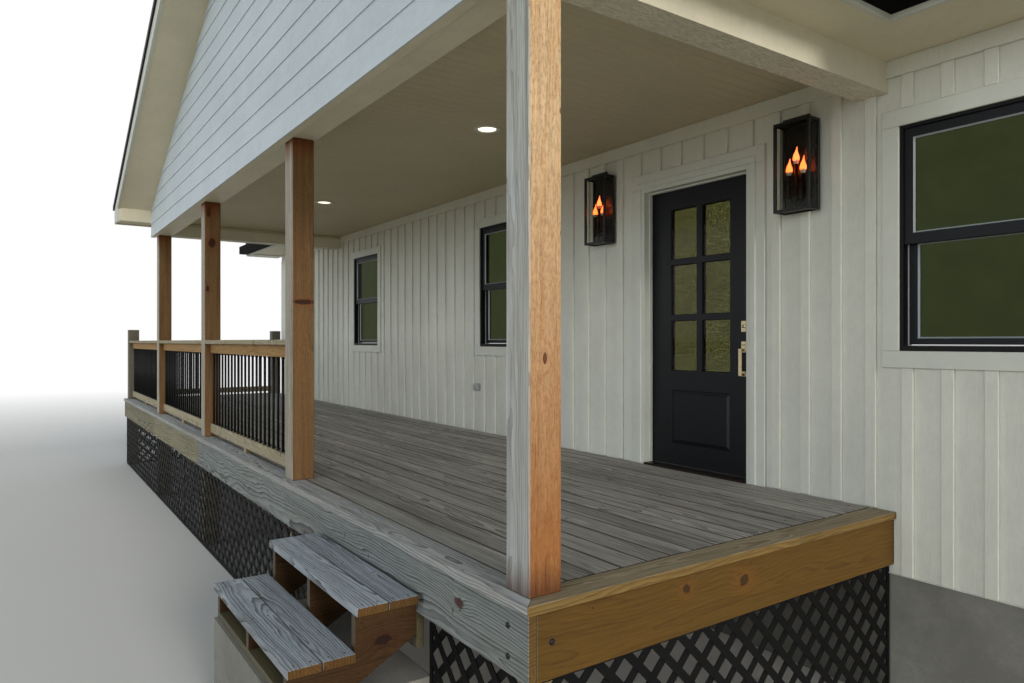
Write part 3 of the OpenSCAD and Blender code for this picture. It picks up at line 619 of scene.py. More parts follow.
def timber_finishes():
    """Weathered and fresh timber of the deck, steps, posts and rails. The blue in the weathered
    colours of the front border, front fascia, first post and steps is painted skylight.
    """
    timber_finish("deck_weathered", ((0.60, 0.55, 0.46), (0.35, 0.30, 0.23)),
                  ((0.69, 0.69, 0.67), (0.21, 0.195, 0.175)), top=1.0, ring=0.012,
                  wander=0.10, knots=0.14, knot_size=0.018, rough=0.78, relief=0.5, gap_shade_and_grime=0.9,
                  streak=0.60, marks=0.03)
    # The front border weathers to a bluish grey that is partly painted skylight
    for name, fresh, worn in (
            ("border_weathered_sky_blue", ((0.58, 0.48, 0.31), (0.40, 0.31, 0.18)),
             ((0.81, 0.835, 0.85), (0.34, 0.34, 0.335))),
            ("border_warm", ((0.54, 0.44, 0.26), (0.36, 0.27, 0.13)),
             ((0.63, 0.585, 0.49), (0.34, 0.30, 0.235)))):
        timber_finish(name, fresh, worn, street=0.85, top=1.0, ring=0.010, wander=0.10,
                      knots=0.12, knot_size=0.018, rough=0.78, relief=0.45, line=0.9)
    timber_finish("fascia_end", ((0.40, 0.295, 0.115), (0.28, 0.19, 0.06)),
                  ((0.50, 0.47, 0.38), (0.32, 0.28, 0.21)), street=0.9, ring=0.017,
                  wander=0.22, knots=0.03, knot_size=0.020, rough=0.70, relief=0.3, line=0.6,
                  knot_colour=(0.20, 0.145, 0.085), halo_colour=(0.50, 0.31, 0.11),
                  set_knots=(((0.0, 0.827, -0.100), (0.06, 0.022, 0.020)),
                             ((0.0, 1.206, -0.135), (0.06, 0.034, 0.026))))
    timber_finish("fascia_front", ((0.475, 0.37, 0.205), (0.30, 0.205, 0.095)),
                  ((0.62, 0.655, 0.655), (0.11, 0.10, 0.085)), street=1.0, ring=0.0155,
                  wander=0.18, knots=0.10, knot_size=0.018, rough=0.74, relief=0.5, marks=0.015,
                  line=1.0, streak=0.30, knot_colour=(0.27, 0.155, 0.12),
                  set_knots=(((-0.494, 0.0, -0.134), (0.042, 0.05, 0.021)),
                             ((-0.486, 0.0, -0.160), (0.006, 0.05, 0.005))))
    timber_finish("fascia_far", ((0.475, 0.37, 0.205), (0.30, 0.205, 0.095)),
                  ((0.615, 0.60, 0.51), (0.20, 0.18, 0.13)), street=1.0, ring=0.0155,
                  wander=0.16, knots=0.25, knot_size=0.022, rough=0.74, relief=0.5, marks=0.05,
                  line=0.9, streak=0.4, knot_colour=(0.20, 0.15, 0.10))
    for name, order in (("frame_timber_x", (X, Z, Y)), ("frame_timber_z", (Z, X, Y))):
        timber_finish(name, ((0.56, 0.49, 0.35), (0.42, 0.35, 0.23)),
                      ((0.56, 0.54, 0.48), (0.38, 0.35, 0.30)), street=0.8, even=0.2,
                      ring=0.010, wander=0.06, knots=0.2, knot_size=0.022, order=order)
    timber_finish("step_plate_timber", ((0.42, 0.385, 0.26), (0.29, 0.255, 0.165)),
                  ((0.42, 0.415, 0.37), (0.27, 0.26, 0.22)), street=0.8, even=0.3,
                  ring=0.010, wander=0.06, knots=0.2, knot_size=0.022, order=(X, Z, Y))
    timber_finish("post_cedar", ((0.90, 0.785, 0.62), (0.81, 0.62, 0.42)),
                  ((0.745, 0.775, 0.775), (0.38, 0.395, 0.39)), street=0.93, ring=0.010,
                  wander=0.03, knots=0.03, knot_size=0.016, rough=0.62, line=0.6, streak=0.6,
                  relief=0.4, foot=(0.63, 0.385, 0.155), mottle=0.38,
                  knot_colour=(0.34, 0.18, 0.10),
                  set_knots=(((-0.059, 0.122, 0.871), (0.05, 0.010, 0.022)),
                             ((-0.059, 0.200, 1.792), (0.02, 0.010, 0.016)),
                             ((-0.059, 0.200, 1.337), (0.02, 0.008, 0.012))))
    timber_finish("post_brown", ((0.53, 0.40, 0.25), (0.36, 0.24, 0.115)),
                  ((0.72, 0.705, 0.66), (0.45, 0.43, 0.385)), street=0.9, ring=0.010,
                  wander=0.04, knots=0.12, knot_size=0.022, rough=0.64, line=0.6, streak=0.6,
                  relief=0.35, mottle=0.25, head=(0.42, 0.22, 0.08),
                  knot_colour=(0.17, 0.07, 0.035), halo_colour=(0.50, 0.27, 0.10),
                  set_knots=(((-2.751, 0.128, 1.198), (0.05, 0.075, 0.017)),
                             ((-5.443, 0.119, 1.898), (0.05, 0.034, 0.045)),
                             ((-5.443, 0.090, 2.210), (0.05, 0.022, 0.060)),
                             ((-5.443, 0.080, 1.450), (0.05, 0.014, 0.030))))
    timber_finish("newel_tan", ((0.47, 0.43, 0.36), (0.32, 0.28, 0.215)),
                  ((0.52, 0.52, 0.49), (0.34, 0.335, 0.305)), street=0.8, even=0.35,
                  ring=0.010, knots=0.12, knot_size=0.024, line=0.7, streak=0.5, relief=0.3)
    timber_finish("rail_honey", ((0.68, 0.51, 0.26), (0.50, 0.34, 0.13)),
                  ((0.66, 0.57, 0.42), (0.46, 0.37, 0.25)), street=0.35, ring=0.009,
                  wander=0.05, knots=0.34, knot_size=0.020, rough=0.66, line=0.9)
    timber_finish("rail_pale", ((0.62, 0.54, 0.40), (0.45, 0.37, 0.25)),
                  ((0.73, 0.70, 0.60), (0.50, 0.46, 0.36)), street=0.9, top=0.8, ring=0.009,
                  wander=0.06, knots=0.3, knot_size=0.018, rough=0.7, marks=0.5, mark_scale=12.0)
    timber_finish("step_weathered_sky_blue", ((0.43, 0.315, 0.165), (0.30, 0.205, 0.10)),
                  ((0.72, 0.775, 0.82), (0.14, 0.14, 0.145)), street=0.8, top=1.0, ring=0.013,
                  wander=0.10, knots=0.05, knot_size=0.014, rough=0.78, line=1.0, relief=0.55,
                  marks=0.01)
    timber_finish("step_red", ((0.34, 0.24, 0.13), (0.20, 0.12, 0.06)),
                  ((0.44, 0.42, 0.37), (0.29, 0.265, 0.215)), street=0.9, ring=0.012,
                  wander=0.12, knots=0.06, knot_size=0.020, rough=0.74, mottle=0.3,
                  knot_colour=(0.15, 0.075, 0.055), halo_colour=(0.30, 0.14, 0.09),
                  set_knots=(((-0.8695, -0.151, -0.374), (0.05, 0.042, 0.020)),))


def other_finishes(c):
    """Paint, metal, concrete, shingles and glass."""
    paint_finish("wall_paint", c.wall, 0.55, along=(55, 55, 3.0), relief=0.35)
    paint_finish("trim_paint", c.trim, 0.48, relief=0.2)
    paint_finish("beam_paint_x", c.beam, 0.5, along=(1.2, 24, 24), relief=0.35)
    # Beam undersides get strong painted shade in the grooves of their grain
    paint_finish("beam_paint_y", c.beam, 0.5, along=(60, 6, 60), relief=0.35, under=0.75)
    paint_finish("siding_paint", c.siding, 0.52, along=(1.6, 20, 40), relief=0.25)
    paint_finish("ceiling_paint", c.ceiling, 0.55, relief=0.2)
    paint_finish("soffit_paint", c.soffit, 0.55, relief=0.2)
    paint_finish("door_paint", c.door, 0.36, relief=0.2, dirt=0.2,
                 dirt_colour=shade(c.door, 1.25), shine=0.25)
    paint_finish("bulb_base", (0.78, 0.72, 0.60), 0.4)
    metal_finish("black_metal", c.black, 0.55, 0.0, shine=0.2)
    metal_finish("gutter_black", c.black, 0.80, 0.0, shine=0.05)
    metal_finish("lattice_black", c.black, 0.60, 0.0, shine=0.15)
    metal_finish("lantern_black", shade(c.black, 0.7), 0.30, 0.0, shine=0.4)
    metal_finish("window_black", shade(c.black, 0.8), 0.5, 0.0, specks=0.15, shine=0.2)
    metal_finish("window_blue", (0.045, 0.053, 0.070), 0.5, 0.0, specks=0.15, shine=0.25)
    # The bead's pale colour is a painted highlight
    metal_finish("window_bead", (0.58, 0.61, 0.62), 0.35, 0.0, specks=0.15)
    metal_finish("brass", c.brass, 0.30, 1.0, specks=0.3)
    metal_finish("bolt_zinc", (0.11, 0.10, 0.095), 0.5, 0.6, specks=0.6)
    metal_finish("sill_bronze", (0.16, 0.13, 0.11), 0.4, 0.7, specks=0.3)
    metal_finish("cover_plate", (0.62, 0.63, 0.63), 0.35, 0.0, specks=0.2)
    stone_finish("concrete", (0.52, 0.515, 0.49))
    shingle_finish("shingle", (0.17, 0.17, 0.18))
    glass_finish("door_glass", (0.60, 0.60, 0.46), 0.03, ripple=0.35, scale=45.0, ior=1.22,
                 seeds=0.9)
    # The dark olive of the window glass is painted shade of the room behind it and a painted
    # reflection of trees
    glass_finish("window_glass", (0.19, 0.21, 0.13), 0.0, ripple=0.03, scale=2.0, ior=1.05)
    glass_finish("lantern_glass", (0.93, 0.93, 0.91), 0.0, ripple=0.03, scale=12.0, ior=1.15)
    glow_finish("flame", (1.0, 0.36, 0.13), (1.0, 0.40, 0.21), 5.0)
    glow_finish("lens", (1.0, 0.93, 0.80), (1.0, 0.96, 0.88), 1.6)


# Mesh making


def box_faces():
    """The faces of a box with cut edges: six sides, twelve edges and eight corners. Each
    corner of the box has three points, one on each side that meets there."""
    corners = [(a, b, d) for a in (0, 1) for b in (0, 1) for d in (0, 1)]
    at = {(axis, corner): 3 * k + axis
          for k, corner in enumerate(corners) for axis in (X, Y, Z)}

    def corner_of(axis, end, turn):
        """The corner at one end of an axis. turn is its place along the two other axes."""
        corner = list(turn)
        corner.insert(axis, end)
        return tuple(corner)

    faces = []
    for axis in (X, Y, Z):
        b, d = [a for a in (X, Y, Z) if a != axis]
        for end in (0, 1):
            faces.append([at[axis, corner_of(axis, end, turn)]
                          for turn in ((0, 0), (1, 0), (1, 1), (0, 1))])
        for turn in ((0, 0), (0, 1), (1, 0), (1, 1)):
            one, two = [corner_of(axis, end, turn) for end in (0, 1)]
            faces.append([at[b, one], at[b, two], at[d, two], at[d, one]])
    faces += [[at[axis, corner] for axis in (X, Y, Z)] for corner in corners]
    return corners, faces


BOX_CORNERS, BOX_FACES = box_faces()


def tube_faces(rings, sides):
    """The faces round a row of rings with the same number of points, and both its ends."""
    faces = [[k * sides + i, k * sides + (i + 1) % sides,
              (k + 1) * sides + (i + 1) % sides, (k + 1) * sides + i]
             for k in range(rings - 1) for i in range(sides)]
    return faces + [list(range(sides)), [(rings - 1) * sides + i for i in range(sides)]]


def circle(sides):
    """The cosine and sine of each corner of a regular shape."""
    turns = [2 * math.pi * i / sides for i in range(sides)]
    return [(math.cos(turn), math.sin(turn)) for turn in turns]


def add_object(name, data):
    """Puts an object into the scene."""
    thing = bpy.data.objects.new(name, data)
    bpy.context.scene.collection.objects.link(thing)
    return thing


class Piece:
    """Collects boards, cut shapes and turned shapes, and makes one object of them."""

    def __init__(self, seed):
        self.random = random.Random(seed)
        self.points, self.grain, self.place, self.half, self.tone = [], [], [], [], []
        self.faces, self.finish, self.smooth = [], [], []

    def add(self, points, faces, grain=None, tone=0.5, finish=0, smooth=False):
        """Takes in a closed shape. finish counts in the list that make() is given."""
        first = len(self.points)
        grain = grain or [(tuple(p), (0, 0, 0), (1, 1, 1)) for p in points]
        self.points += points
        for values, column in zip(zip(*grain), (self.grain, self.place, self.half)):
            column += values
        self.tone += [tone] * len(points)
        self.faces += [[first + i for i in face] for face in faces]
        self.finish += [finish] * len(faces)
        self.smooth += [smooth] * len(faces)

    def grain_map(self, low, high, along, heart, lean=0.025):
        """Along, across and deep for each point of a board: in its log, from the board's
        middle, and the board's half sizes. heart is how deep the log's middle may lie, and
        lean how far it drifts along the board."""
        size = high - low
        across, deep = sorted((a for a in range(3) if a != along), key=lambda a: -size[a])
        middle = (low + high) / 2
        r = self.random
        shift = r.uniform(0.0, 40.0)
        off = r.uniform(-0.5, 0.5) * size[across]
        depth = r.choice((-1, 1)) * r.uniform(*heart)
        lean_a, lean_d = r.uniform(-0.02, 0.02), r.choice((-1, 1)) * r.uniform(0.4, 1) * lean
        axes = (along, across, deep)
        half = tuple(size[a] / 2 for a in axes)

        def at(p):
            place = tuple(p[a] - middle[a] for a in axes)
            run = place[0]
            return ((run + shift, place[1] + off + lean_a * run,
                     place[2] + depth + lean_d * run), place, half)
        return at

    def board(self, low, high, along=X, ease=0.003, finish=0, heart=(0.03, 0.09), tone=None,
              lean=0.025):
        """A straight board with eased edges, its grain along one axis."""
        low, high = Vector(low), Vector(high)
        cut = min(ease, 0.4 * min(high - low))
        grain_at = self.grain_map(low, high, along, heart, lean)
        points = []
        for corner in BOX_CORNERS:
            for axis in (X, Y, Z):
                p = Vector([high[i] - cut if corner[i] else low[i] + cut for i in range(3)])
                p[axis] = high[axis] if corner[axis] else low[axis]
                points.append(p)
        self.add(points, BOX_FACES, [grain_at(p) for p in points],
                 self.random.random() if tone is None else tone, finish)

    def cut(self, outline, start, end, to_space, along=X, finish=0, heart=(0.03, 0.09),
            lift=None):
        """A flat shape with a thickness. lift(u, v) moves the far side of single points."""
        near = [to_space(u, v, start) for u, v in outline]
        far = [to_space(u, v, end + (lift(u, v) if lift else 0.0)) for u, v in outline]
        points = [Vector(p) for p in near + far]
        low = Vector([min(p[a] for p in points) for a in range(3)])
        high = Vector([max(p[a] for p in points) for a in range(3)])
        grain_at = self.grain_map(low, high, along, heart)
        self.add(points, tube_faces(2, len(outline)), [grain_at(p) for p in points],
                 self.random.random(), finish)

    def moulding(self, x0, x1, z0, z1, width, profile, finish=0):
        """A mitred ring round a rectangle in X and Z. width is one value, or those of the
        sides, the foot and the head. profile holds shares of the width and Y places."""
        sides, foot, top = width if isinstance(width, tuple) else (width,) * 3
        points = [Vector((x1 - share * sides if right else x0 + share * sides, y,
                          z1 - share * top if up else z0 + share * foot))
                  for right, up in ((0, 0), (1, 0), (1, 1), (0, 1)) for share, y in profile]
        m = len(profile)
        faces = [[k * m + i, k * m + (i + 1) % m, (k + 1) % 4 * m + (i + 1) % m,
                  (k + 1) % 4 * m + i] for k in range(4) for i in range(m)]
        self.add(points, faces, None, self.random.random(), finish)

    def turned(self, profile, centre, axis=Z, sides=20, finish=0, flip=1.0):
        """A turned shape: profile points are (radius, distance along the axis)."""
        b, d = [(Y, Z), (Z, X), (X, Y)][axis]
        points = []
        for radius, rise in profile:
            for cosine, sine in circle(sides):
                p = Vector(centre)
                p[axis] += flip * rise
                p[b] += radius * cosine
                p[d] += radius * sine
                points.append(p)
        self.add(points, tube_faces(len(profile), sides), None, self.random.random(), finish,
                 smooth=True)

    def rod(self, path, radius, sides=12, finish=0):
        """A round bar along a path. radius is one value, or one for each point."""
        points = []
        path = [Vector(p) for p in path]
        side = None
        for k, p in enumerate(path):
            ahead = (path[min(k + 1, len(path) - 1)] - path[max(k - 1, 0)]).normalized()
            if side is None:
                side = ahead.orthogonal().normalized()
            side = (side - ahead * side.dot(ahead)).normalized()
            other = ahead.cross(side)
            r = radius[k] if isinstance(radius, list) else radius
            points += [p + r * (cosine * side + sine * other) for cosine, sine in circle(sides)]
        self.add(points, tube_faces(len(path), sides), finish=finish, smooth=True)

    def make(self, name, finishes, slot, body="porch", replaces=(), bevel=0.0):
        """The object itself, riding on its body."""
        if not self.faces:
            raise RuntimeError(f"{name} has no faces")
        mesh = bpy.data.meshes.new(name)
        mesh.from_pydata([p + CORNER for p in self.points], [], self.faces)
        mesh.polygons.foreach_set("material_index", self.finish)
        mesh.polygons.foreach_set("use_smooth", self.smooth)
        for label, column in (("grain", self.grain), ("place", self.place),
                              ("half", self.half)):
            layer = mesh.attributes.new(label, "FLOAT_VECTOR", "POINT")
            layer.data.foreach_set("vector", [v for values in column for v in values])
        tone = mesh.attributes.new("tone", "FLOAT", "POINT")
        tone.data.foreach_set("value", self.tone)
        shell = bmesh.new()
        shell.from_mesh(mesh)
        bmesh.ops.recalc_face_normals(shell, faces=shell.faces)
        shell.to_mesh(mesh)
        shell.free()
        for finish in finishes:
            mesh.materials.append(FINISHES[finish])
        thing = add_object(name, mesh)
        soften(thing, bevel)
        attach(thing, body)
        if replaces:
            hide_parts(*replaces)


def soften(thing, width):
    """Rounds the hard edges of an object."""
    if width:
        mod = thing.modifiers.new("eased_edges", "BEVEL")
        mod.width = width
        mod.segments = 2
        mod.limit_method = "ANGLE"
        mod.angle_limit = math.radians(40)
        mod.harden_normals = False


def dress(node, finish, bevel=0.0):
    """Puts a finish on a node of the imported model."""
    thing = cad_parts[node]
    thing.data.materials.clear()
    thing.data.materials.append(FINISHES[finish])
    soften(thing, bevel)


def clip(outline, a, b, c):
    """Keeps the part of an outline where a*u + b*v <= c."""
    kept = []
    for i, p in enumerate(outline):
        q = outline[(i + 1) % len(outline)]
        dp, dq = a * p[0] + b * p[1] - c, a * q[0] + b * q[1] - c
        if dp <= 0:
            kept.append(p)
        if (dp < 0) != (dq < 0) and abs(dp - dq) > 1e-12:
            t = dp / (dp - dq)
            kept.append((p[0] + t * (q[0] - p[0]), p[1] + t * (q[1] - p[1])))
    clean = []
    for p in kept:
        if not clean or math.dist(p, clean[-1]) > 1e-5:
            clean.append(p)
    if len(clean) > 1 and math.dist(clean[0], clean[-1]) < 1e-5:
        clean.pop()
    return clean if len(clean) > 2 else []


def clip_box(outline, u0, u1, v0, v1):
    """Keeps the part of an outline inside a rectangle."""
    for a, b, c in ((-1, 0, -u0), (1, 0, u1), (0, -1, -v0), (0, 1, v1)):
        outline = clip(outline, a, b, c)
    return outline


def rectangle(u0, u1, v0, v1):
    return [(u0, v0), (u1, v0), (u1, v1), (u0, v1)]


def area(outline):
    pairs = zip(outline, outline[1:] + outline[:1])
    return abs(sum(p[0] * q[1] - q[0] * p[1] for p, q in pairs)) / 2


def front(u, v, w):
    """Outline in X and Z, thickness along Y."""
    return (u, w, v)


def side(u, v, w):
    """Outline in Y and Z, thickness along X."""
    return (w, u, v)


def flat(u, v, w):
    """Outline in X and Y, thickness along Z."""
    return (u, v, w)


def strips(u0, u1, v0, v1, width, foot=True):
    """The boards that frame a rectangle from inside: foot, head, left and right. Each is its
    span in u, its span in v, and whether it stands."""
    start = v0 + width if foot else v0
    lying = [(v0, v0 + width)] if foot else []
    lying.append((v1 - width, v1))
    return ([((u0, u1), v, False) for v in lying]
            + [(u, (start, v1 - width), True) for u in ((u0, u0 + width), (u1 - width, u1))])


def pieces_of(start, end, cuts):
    """The stretches of start..end that none of the cuts covers."""
    spans = [(start, end)]
    for a, b in cuts:
        spans = [part for s, e in spans
                 for part in ([(s, e)] if b <= s or a >= e else [(s, a), (b, e)])]
    return [(s, e) for s, e in spans if e - s > 0.01]


# Deck, skirt and steps


def deck_boards(s):
    """Rows of boards along the deck, butted over its joists."""
    low, high = span("deck_boards")
    widest_gap = 0.0065
    shortest = 1.2
    rows = round((high.y - low.y) / (s.board_w + widest_gap))
    pitch = (high.y - low.y) / rows
    deck = Piece(11)
    for k in range(rows):
        y0, y1 = low.y + k * pitch + s.gap / 2, low.y + (k + 1) * pitch - s.gap / 2
        joint = high.x - JOIST_PITCH * deck.random.choice((3, 4, 5, 6, 7, 8))
        joints = []
        while joint > low.x + shortest:
            joints.append(joint)
            joint -= JOIST_PITCH * deck.random.choice((6, 7, 8))
        stops = [low.x] + sorted(joints) + [high.x]
        for a, b in zip(stops, stops[1:]):
            deck.board((a + SEAM, y0, low.z), (b - SEAM, y1, high.z), X, s.ease)
    deck.make("deck_board_rows", ["deck_weathered"], "deck_wood", replaces=["deck_boards"])


def deck_border(s):
    """Flat boards round the deck, mitred at its corners."""
    low, high = span("deck_border")
    w = s.board_w
    end_joint = 1.614
    boards = Piece(12)
    near = [(0, 0), (0, end_joint - SEAM), (-w, end_joint - SEAM), (-w, w)]
    far = [(0, end_joint + SEAM), (0, high.y), (-w, high.y), (-w, end_joint + SEAM)]
    left = [(low.x, 0), (low.x, high.y), (low.x + w, high.y), (low.x + w, w)]
    for outline in (near, far, left):
        boards.cut(outline, low.z, high.z, flat, along=Y, finish=1)
    joints = (-6.85, -3.25)
    stops = [low.x, *joints, 0.0]
    for a, b in zip(stops, stops[1:]):
        outer_a, inner_a = (a, a + w) if a == low.x else (a + SEAM, a + SEAM)
        outer_b, inner_b = (b, b - w) if b == 0.0 else (b - SEAM, b - SEAM)
        boards.cut([(outer_a, 0), (outer_b, 0), (inner_b, w), (inner_a, w)],
                   low.z, high.z, flat, along=X)
    boards.make("deck_border_boards", ["border_weathered_sky_blue", "border_warm"], "deck_wood",
                replaces=["deck_border"], bevel=s.ease)


def deck_fascia(s):
    """Boards on edge round the deck's frame, and their bolts."""
    low, high = span("deck_fascia")
    boards = Piece(13)
    joints = (-8.27, -5.555)
    stops = [low.x, *joints, high.x]
    for a, b in zip(stops, stops[1:]):
        boards.board((a + (SEAM if a != low.x else 0), low.y, low.z),
                     (b - (SEAM if b != high.x else 0), low.y + LUMBER_T, high.z - 0.001), X,
                     finish=0 if b == high.x else 2)
    for x in (low.x, high.x - LUMBER_T):
        boards.board((x, low.y + LUMBER_T + 0.001, low.z),
                     (x + LUMBER_T, high.y, high.z - 0.005), Y, finish=1, heart=(0.02, 0.05))
    boards.make("fascia_boards", ["fascia_front", "fascia_end", "fascia_far"], "fascia_wood",
                replaces=["deck_fascia"])
    bolts = Piece(14)
    r = s.bolt_d / 2
    head = [(r * 1.25, 0.0), (r * 1.25, 0.0015), (r, 0.002), (r, 0.004), (r * 0.85, 0.006),
            (r * 0.45, 0.007), (0.001, 0.0072)]
    inset, upper_z, lower_z = 0.140, -0.109, -0.222
    for x in (-inset, low.x + inset):
        for z in (upper_z, lower_z):
            bolts.turned(head, (x, low.y, z), Y, flip=-1.0)
    end_y, end_z = 0.118, -0.152
    for x, flip in ((high.x, 1.0), (low.x, -1.0)):
        bolts.turned(head, (x, end_y, end_z), X, flip=flip)
    bolts.make("fascia_bolts", ["bolt_zinc"], "black_metal")


def lattice_panel(place, across, outside, seed, s):
    """Two layers of slats that cross in a thin frame. across is the long axis, and outside
    is 1 where the outer side looks along the axis through the panel, or else -1."""
    node = f"lattice_{place}"
    low, high = span(node)
    a0, a1 = low[across], high[across]
    z0, z1 = low.z, high.z
    deep = Y if across == X else X
    to_space = front if across == X else side
    middle = (low[deep] + high[deep]) / 2
    layers = [(low[deep] + 0.001, middle - 0.0002), (middle + 0.0002, high[deep] - 0.001)]
    h = z1 - z0
    edge = s.lattice_edge
    step = s.slat_pitch * math.sqrt(2)
    half = s.slat_w / math.sqrt(2)
    panel = Piece(seed)
    for k in range(-1, int((a1 - a0 + 2 * h) / step) + 2):
        left = a0 - h + k * step - half
        right = a0 - h + k * step + half
        rising = [(left, z0), (right, z0), (right + h, z1), (left + h, z1)]
        falling = [(left + h, z0), (right + h, z0), (right, z1), (left, z1)]
        for outline, (w0, w1) in zip((rising, falling), layers[::outside]):
            outline = clip_box(outline, a0 + edge / 2, a1 - edge / 2, z0 + edge / 2,
                               z1 - edge / 2)
            if outline and area(outline) > 2e-5:
                panel.cut(outline, w0, w1, to_space, across)
    for (u0, u1), (v0, v1), stands in strips(a0, a1, z0, z1, edge):
        panel.board(to_space(u0, v0, low[deep]), to_space(u1, v1, high[deep]),
                    Z if stands else across, 0.001)
    panel.make(f"lattice_slats_{place}", ["lattice_black"], "lattice_black", replaces=[node],
               bevel=0.001)


def skirt(s):
    """The lattice panels under the deck."""
    for k in (1, 2, 3):
        lattice_panel(f"front_{k}", X, -1, 20 + k, s)
    lattice_panel("left", Y, -1, 24, s)
    lattice_panel("right", Y, 1, 25, s)


def treads():
    """Two boards for each tread, with screws into the three stringers."""
    gap = 0.0048
    inset = 0.035
    boards, screws = Piece(31), Piece(34)
    nodes = ["step_tread_lower", "step_tread_upper"]
    for node in nodes:
        low, high = span(node)
        w = (high.y - low.y - gap) / 2
        for y in (low.y, high.y - w):
            boards.board((low.x, y, low.z), (high.x, y + w, high.z), X, 0.002,
                         heart=(0.004, 0.03), lean=0.06)
            for x in (low.x + inset, (low.x + high.x) / 2, high.x - inset):
                for share in (0.25, 0.75):
                    screws.turned([(0.0045, -0.002), (0.0045, 0.0006), (0.001, 0.0010)],
                                  (x, y + share * w, high.z), Z, 10)
    boards.make("step_treads", ["step_weathered_sky_blue"], "step_wood", replaces=nodes)
    screws.make("step_screws", ["bolt_zinc"], "black_metal")


def stringers():
    """Three boards cut to the treads."""
    low, high = span("step_stringers")
    step_run, step_rise, base_w = 0.293, 0.185, 0.140
    riser = low.y + step_run
    seat = high.z - step_rise
    base_z = low.z + LUMBER_T
    outline = [(high.y, high.z), (riser, high.z), (riser, seat), (low.y, seat),
               (low.y, base_z), (low.y + base_w, base_z), (low.y + base_w, low.z),
               (riser - 0.020, low.z), (high.y, high.z - 0.162)]
    sides = Piece(32)
    for x in (low.x, (low.x + high.x - LUMBER_T) / 2, high.x - LUMBER_T):
        sides.cut(outline, x, x + LUMBER_T, side, along=Y, heart=(0.02, 0.06))
    sides.make("step_sides", ["step_red"], "step_wood", replaces=["step_stringers"],
               bevel=0.002)


def steps():
    """Treads and stringers, with finishes for the plates and the footing."""
    treads()
    stringers()
    dress("step_plates", "step_plate_timber", 0.002)
    dress("step_footing", "concrete", 0.012)


# Posts and railing


def posts(s):
    """Square posts, each with its own tone; posts 3 and 4 are lighter to offset the side light's
    shadow on them, a painted light.
    """
    looks = (("post_1", "post_cedar", 0.75), ("post_2", "post_brown", 0.62),
             ("post_3", "post_brown", 0.75), ("post_4", "post_brown", 0.95),
             ("newel_corner", "newel_tan", 0.6), ("newel_wall", "newel_tan", 0.4))
    for k, (node, finish, tone) in enumerate(looks):
        low, high = span(node)
        post = Piece(40 + k)
        post.board(low, high, Z, s.post_ease, heart=(0.0, 0.07), tone=tone)
        post.make(f"{node}_timber", [finish], "post_wood", replaces=[node])


def rail_panel(place, along, seed, s):
    """A flat cap over a rail on edge, a bottom rail on a block, and balusters with shoes."""
    node = f"rail_{place}"
    low, high = span(node)
    a0, a1 = low[along], high[along]
    across = Y if along == X else X
    middle = (low[across] + high[across]) / 2
    cap_half, rail_half = 0.070, LUMBER_T / 2
    cap_z = high.z - LUMBER_T
    top_z = cap_z - RAIL_H
    foot_z = 0.040
    rail = Piece(seed)

    def lay(u0, u1, half, z0, z1, grain=along, ease=0.003, finish=0):
        """A board from u0 to u1 along the panel, half its width to each side of the middle."""
        lo, hi = [0, 0, z0], [0, 0, z1]
        lo[along], hi[along] = u0, u1
        lo[across], hi[across] = middle - half, middle + half
        rail.board(lo, hi, grain, ease, finish)

    lay(a0, a1, cap_half, cap_z, high.z, ease=0.004)
    lay(a0, a1, rail_half, top_z, cap_z - 0.0005, finish=1)
    lay(a0, a1, rail_half, foot_z, foot_z + RAIL_H)
    centre = (a0 + a1) / 2
    lay(centre - LUMBER_T, centre + LUMBER_T, rail_half, 0.0, foot_z, Z, 0.002)
    rail.make(f"rail_boards_{place}", ["rail_pale", "rail_honey"], "rail_wood",
              replaces=[node])

    bars = Piece(seed + 1)
    count = int((a1 - a0) / s.baluster_pitch)
    first = a0 + (a1 - a0 - (count - 1) * s.baluster_pitch) / 2
    r = s.baluster_d / 2
    let_in = 0.004
    bottom, top = foot_z + RAIL_H - let_in, top_z + let_in
    shoe = [(r + 0.0035, 0.003), (r + 0.0035, 0.014), (r + 0.001, 0.018), (r, 0.018)]
    for k in range(count):
        at = [0, 0, bottom]
        at[along] = first + k * s.baluster_pitch
        at[across] = middle
        bars.turned([(r, 0), (r, top - bottom)], at, sides=14)
        bars.turned(shoe, at, sides=14)
        at[Z] = top
        bars.turned(shoe, at, sides=14, flip=-1.0)
    bars.make(f"balusters_boards_{place}", ["black_metal"], "black_metal")


def railing(s):
    """The three panels along the front and the one at the left end."""
    for k in (1, 2, 3):
        rail_panel(f"front_{k}", X, 50 + 2 * k, s)
    rail_panel("left", Y, 58, s)


# Ceiling, gable and roof


